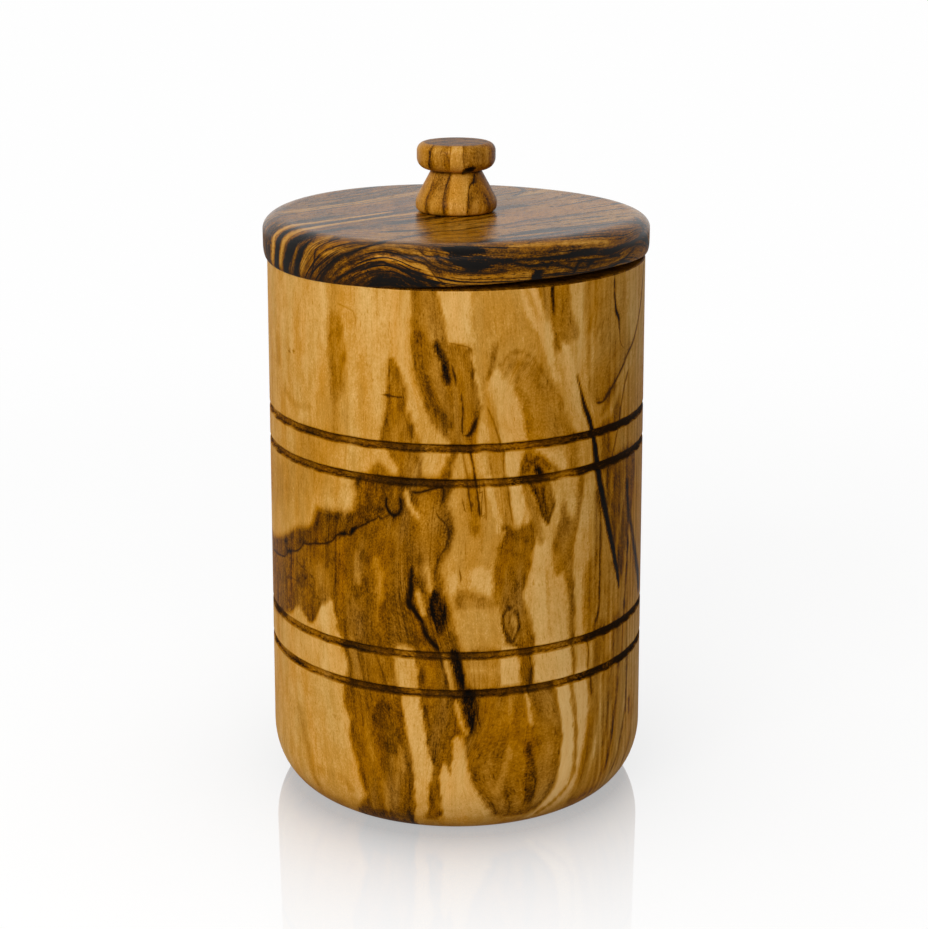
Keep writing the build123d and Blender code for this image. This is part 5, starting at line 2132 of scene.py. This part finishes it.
        # Painted shade: the underside that rests on the rim is painted near black, as the shade in the
        # gap between lid and rim.
        tone = np.where(kind[:, None] == 1, self.under_painted_shade, tone)
        number = LID_FIBRES.number(along, across)
        fields["tone"] = tone
        fields["tone_slope"] = np.where(seen[:, None], self.slope(tone, turn, way), 0.0)
        over_seat = rings[..., 2] - self.seat
        depth = self.thickness - over_seat
        depth = np.where(radius > 40.0, 0.3 * depth, depth)
        fields["grain"] = np.stack([number, depth, across], -1)
        # Painted shade: the lowest band of the seen edge is darkened, as the shade of the gap under the
        # lid, in the same field as the jar's scorched grooves.
        lowest = 1.0 - smooth_step(-0.2, 1.8, over_seat)
        fields["burn"] = 0.5 * np.where(seen[:, None] & (radius > 44.0), lowest, 0.0)
        # Rubbing and a painted highlight lighten the top's rounded edge.
        fields["wear"] = smooth_step(40.0, 42.5, radius) * smooth_step(6.0, 9.0, over_seat)
        fields["matt"] = smooth_step(44.6, 45.6, radius) * (1.0 - smooth_step(5.0, 8.0, over_seat))
        piece = Shell("lid_wood", rings, fields, poles=False).build(self.finish.make())
        dress(piece, "lid_and_knob", "lid")
        return piece


@dataclass
class Knob:
    """The knob: a coned foot, a narrow neck and a round flat-topped head."""

    seat: float = 142.0
    foot_radius: float = 9.65
    foot_rounding: float = 1.6
    cone_foot: float = 3.0
    shoulder_rounding: float = 4.0
    neck_radius: float = 5.8
    neck_height: float = 10.1
    head_radius: float = 9.3
    head_height: float = 6.3
    under_rounding: float = 2.7
    top_rounding: float = 2.0
    flat_radius: float = 9.4
    mark_lift: float = 2.4
    base_tone: float = 0.33
    added_tone: float = 0.07
    end_grain: float = 0.7
    seed: int = 41
    waver: float = 0.14
    ring_gap: float = 0.42
    columns: int = 180
    finish: OliveFinish = field(default_factory=lambda: OliveFinish(
        "knob_olive_wood", mottle=0.6, cloud=0.42, pores=0.2, roughness=0.38, specular=0.055,
        relief=0.03))

    def profile(self) -> np.ndarray:
        """The half-profile from the middle of the foot to the middle of the head.

        Returns:
            The profile's points as rows of (radius, height).
        """
        neck = self.seat + self.neck_height
        top = neck + self.head_height
        corners = (
            (0.0, self.seat, 0.0),
            (self.foot_radius, self.seat, self.foot_rounding),
            (self.foot_radius, self.seat + self.cone_foot, self.shoulder_rounding),
            (self.neck_radius, neck, 0.0),
            (self.head_radius, neck, self.under_rounding),
            (self.head_radius, top, self.top_rounding),
            (0.0, top, 0.0),
        )
        return divided(rounded_profile(corners, 12), lambda place: self.ring_gap)

    def build(self) -> bpy.types.Object:
        """Turns the knob and lays its figure up its side and over its head.

        The lines run up to the head's edge and fade there into the flat top's end grain.

        Returns:
            The dressed knob.
        """
        turn = round_angles(self.columns) - math.pi
        profile = self.profile()
        rings = turned_points(profile, turn)
        shape = rings.shape[:2]
        radius = np.broadcast_to(profile[:, 0, None], shape)
        height = np.broadcast_to(profile[:, 1, None], shape)
        across = np.broadcast_to(turn * self.flat_radius, shape)
        top = profile[-1, 1]
        on_head = height > top - 0.02
        flat_turn = FULL_TURN * self.flat_radius
        figure = Figure(KNOB_MARKS, self.base_tone, flat_turn, seed=self.seed, waver=self.waver)
        fields = figure.lay(across, height + self.mark_lift)
        x, y = rings[..., 0], rings[..., 1]
        knots = ripple(x, y, 61, 5.0, 4.0) + 0.7 * ripple(x, y, 62, 2.0, 1.7)
        share = (1.0 - smooth_step(6.9, 8.4, radius)) * on_head
        tone = blend(fields["tone"] + self.added_tone, self.end_grain + 0.13 * knots, share)
        fields["tone"] = tone
        step = np.full(shape, flat_turn / self.columns)
        fields["tone_slope"] = slope_across(tone, step) * (1.0 - share)
        fields["line_half"] = fields["line_half"] * (1.0 - share)[..., None]
        fields["grain"] = np.stack([x, y, height], -1)
        # Painted shade: the crease under the head and the foot's lowest edge, where it sits on the lid,
        # are darkened in the same field as the jar's scorched grooves.
        from_neck = np.hypot(radius - self.neck_radius, height - self.seat - self.neck_height)
        crease = 1.0 - smooth_step(0.1, 1.0, from_neck)
        ledge = 1.0 - smooth_step(0.0, 0.7, height - self.seat)
        fields["burn"] = 0.9 * np.maximum(crease, ledge)
        # Rubbing and a painted highlight lighten the head's top edge.
        fields["wear"] = smooth_step(-2.4, -0.6, height - top) * smooth_step(7.0, 8.2, radius)
        piece = Shell("knob_wood", rings, fields).build(self.finish.make())
        dress(piece, "lid_and_knob", "knob")
        return piece


class Fitting(Enum):
    """The CAD pieces that keep their own shape and only get a finish."""

    SEAL_RING = "seal_ring"
    KNOB_SCREW = "knob_screw"


@dataclass(frozen=True)
class HiddenFittings:
    """The rubber seal ring and the steel screw, which show when the lid is off."""

    rubber: RubberFinish = RubberFinish()
    steel: SteelFinish = SteelFinish()

    def dress(self) -> None:
        """Gives each fitting's CAD mesh its finish."""
        finishes = {Fitting.SEAL_RING: self.rubber, Fitting.KNOB_SCREW: self.steel}
        for fitting, finish in finishes.items():
            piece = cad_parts[fitting.value]
            piece.data.materials.clear()
            piece.data.materials.append(finish.make())
            LOG.info("%s: keeps its CAD shape, finished as %s", fitting.value, finish.name)


@dataclass(frozen=True)
class Lamp:
    """A soft square lamp that looks at the jar."""

    name: str
    place: Point
    size: float
    power: float
    target: Point = (0.0, 0.0, 0.07)

    def hang(self) -> None:
        """Adds the lamp and turns it to its target.

        It tips up from straight down by the angle whose tangent is the level distance over the
        drop, and then turns round the upright axis.
        """
        light = bpy.data.lights.new(self.name, "AREA")
        light.size = self.size
        light.energy = self.power
        lamp = bpy.data.objects.new(self.name, light)
        bpy.context.scene.collection.objects.link(lamp)
        lamp.visible_camera = False
        lamp.location = self.place
        aim = np.array(self.target) - np.array(self.place)
        turn_up = math.atan2(math.hypot(aim[0], aim[1]), -aim[2])
        lamp.rotation_euler = (turn_up, 0.0, math.atan2(-aim[0], aim[1]))


@dataclass(frozen=True)
class Studio:
    """The floor, the soft light all round, the lamps and the camera.

    Lengths are in metres. focal_pixels is the focal length as the picture's pixels, of which
    it has frame_pixels along its longer side, and camera_dip is in degrees below level.
    """

    floor_radius: float = 4.0
    daylight: float = 0.42
    leftward: float = 0.2
    backdrop: float = BACKDROP
    lamps: tuple[Lamp, ...] = (
        Lamp("window_left", (-0.5, -0.95, 0.6), 0.7, 6.5),
        Lamp("window_front", (0.1, -1.15, 0.35), 0.8, 3.0),
    )
    focal_pixels: float = 2018.4
    frame_pixels: float = 929.0
    camera_place: Point = (0.00184, -0.4763, 0.2219)
    camera_dip: float = 16.686
    sensor: float = 36.0
    nearest_seen: float = 0.01

    def lay_floor(self) -> None:
        """Lays a round board under the jar: rings of points round the origin, closed by a fan."""
        reach = self.floor_radius / MM
        radii = np.array([0.0, 60.0, 150.0, 400.0, 1000.0, reach])
        radii = np.concatenate([radii, radii[::-1]])
        heights = np.repeat([-0.02, -20.0], 6)
        profile = np.stack([radii, heights], 1)[::-1]
        rings = turned_points(profile, round_angles(96))
        floor = Shell("floor", rings, {}).build(FloorFinish().make())

    def light_world(self) -> None:
        """Soft light all round, stronger from the left, with a plain white seen in the gloss.

        Its strength is daylight less leftward times the direction's part to the right.
        """
        world = bpy.data.worlds.new("studio")
        bpy.context.scene.world = world
        world.use_nodes = True
        board = NodeBoard(world.node_tree)
        way = board.add("ShaderNodeTexCoord").outputs["Generated"]
        right = board.add("ShaderNodeSeparateXYZ", {0: way}).outputs[0]
        daylight = board.sum("MULTIPLY_ADD", right, -self.leftward, self.daylight)
        strength = board.mix(board.seen(), daylight, self.backdrop)
        inputs = {"Color": (1.0, 1.0, 1.0, 1.0), "Strength": strength}
        light = board.add("ShaderNodeBackground", inputs)
        board.add("ShaderNodeOutputWorld", {"Surface": light.outputs[0]})

    def place_camera(self) -> None:
        """Sets the camera where the picture was taken from."""
        camera = bpy.data.objects.new("camera", bpy.data.cameras.new("camera"))
        bpy.context.scene.collection.objects.link(camera)
        camera.data.sensor_width = self.sensor
        camera.data.lens = self.sensor * self.focal_pixels / self.frame_pixels
        camera.data.clip_start = self.nearest_seen
        camera.location = self.camera_place
        camera.rotation_euler = (math.radians(90.0 - self.camera_dip), 0.0, 0.0)
        bpy.context.scene.camera = camera

    def set_up(self) -> None:
        """Makes the whole studio."""
        bpy.context.scene.view_settings.view_transform = "Standard"
        self.place_camera()
        self.lay_floor()
        self.light_world()
        for lamp in self.lamps:
            lamp.hang()


def main() -> None:
    """Sets up the studio, makes and dresses every piece, and notes the sizes."""
    logging.basicConfig(level=logging.INFO, format="%(name)s: %(message)s")
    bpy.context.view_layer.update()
    Studio().set_up()
    for maker in (JarBody(), Lid(), Knob()):
        maker.build()
    HiddenFittings().dress()


if __name__ == "__main__":
    main()
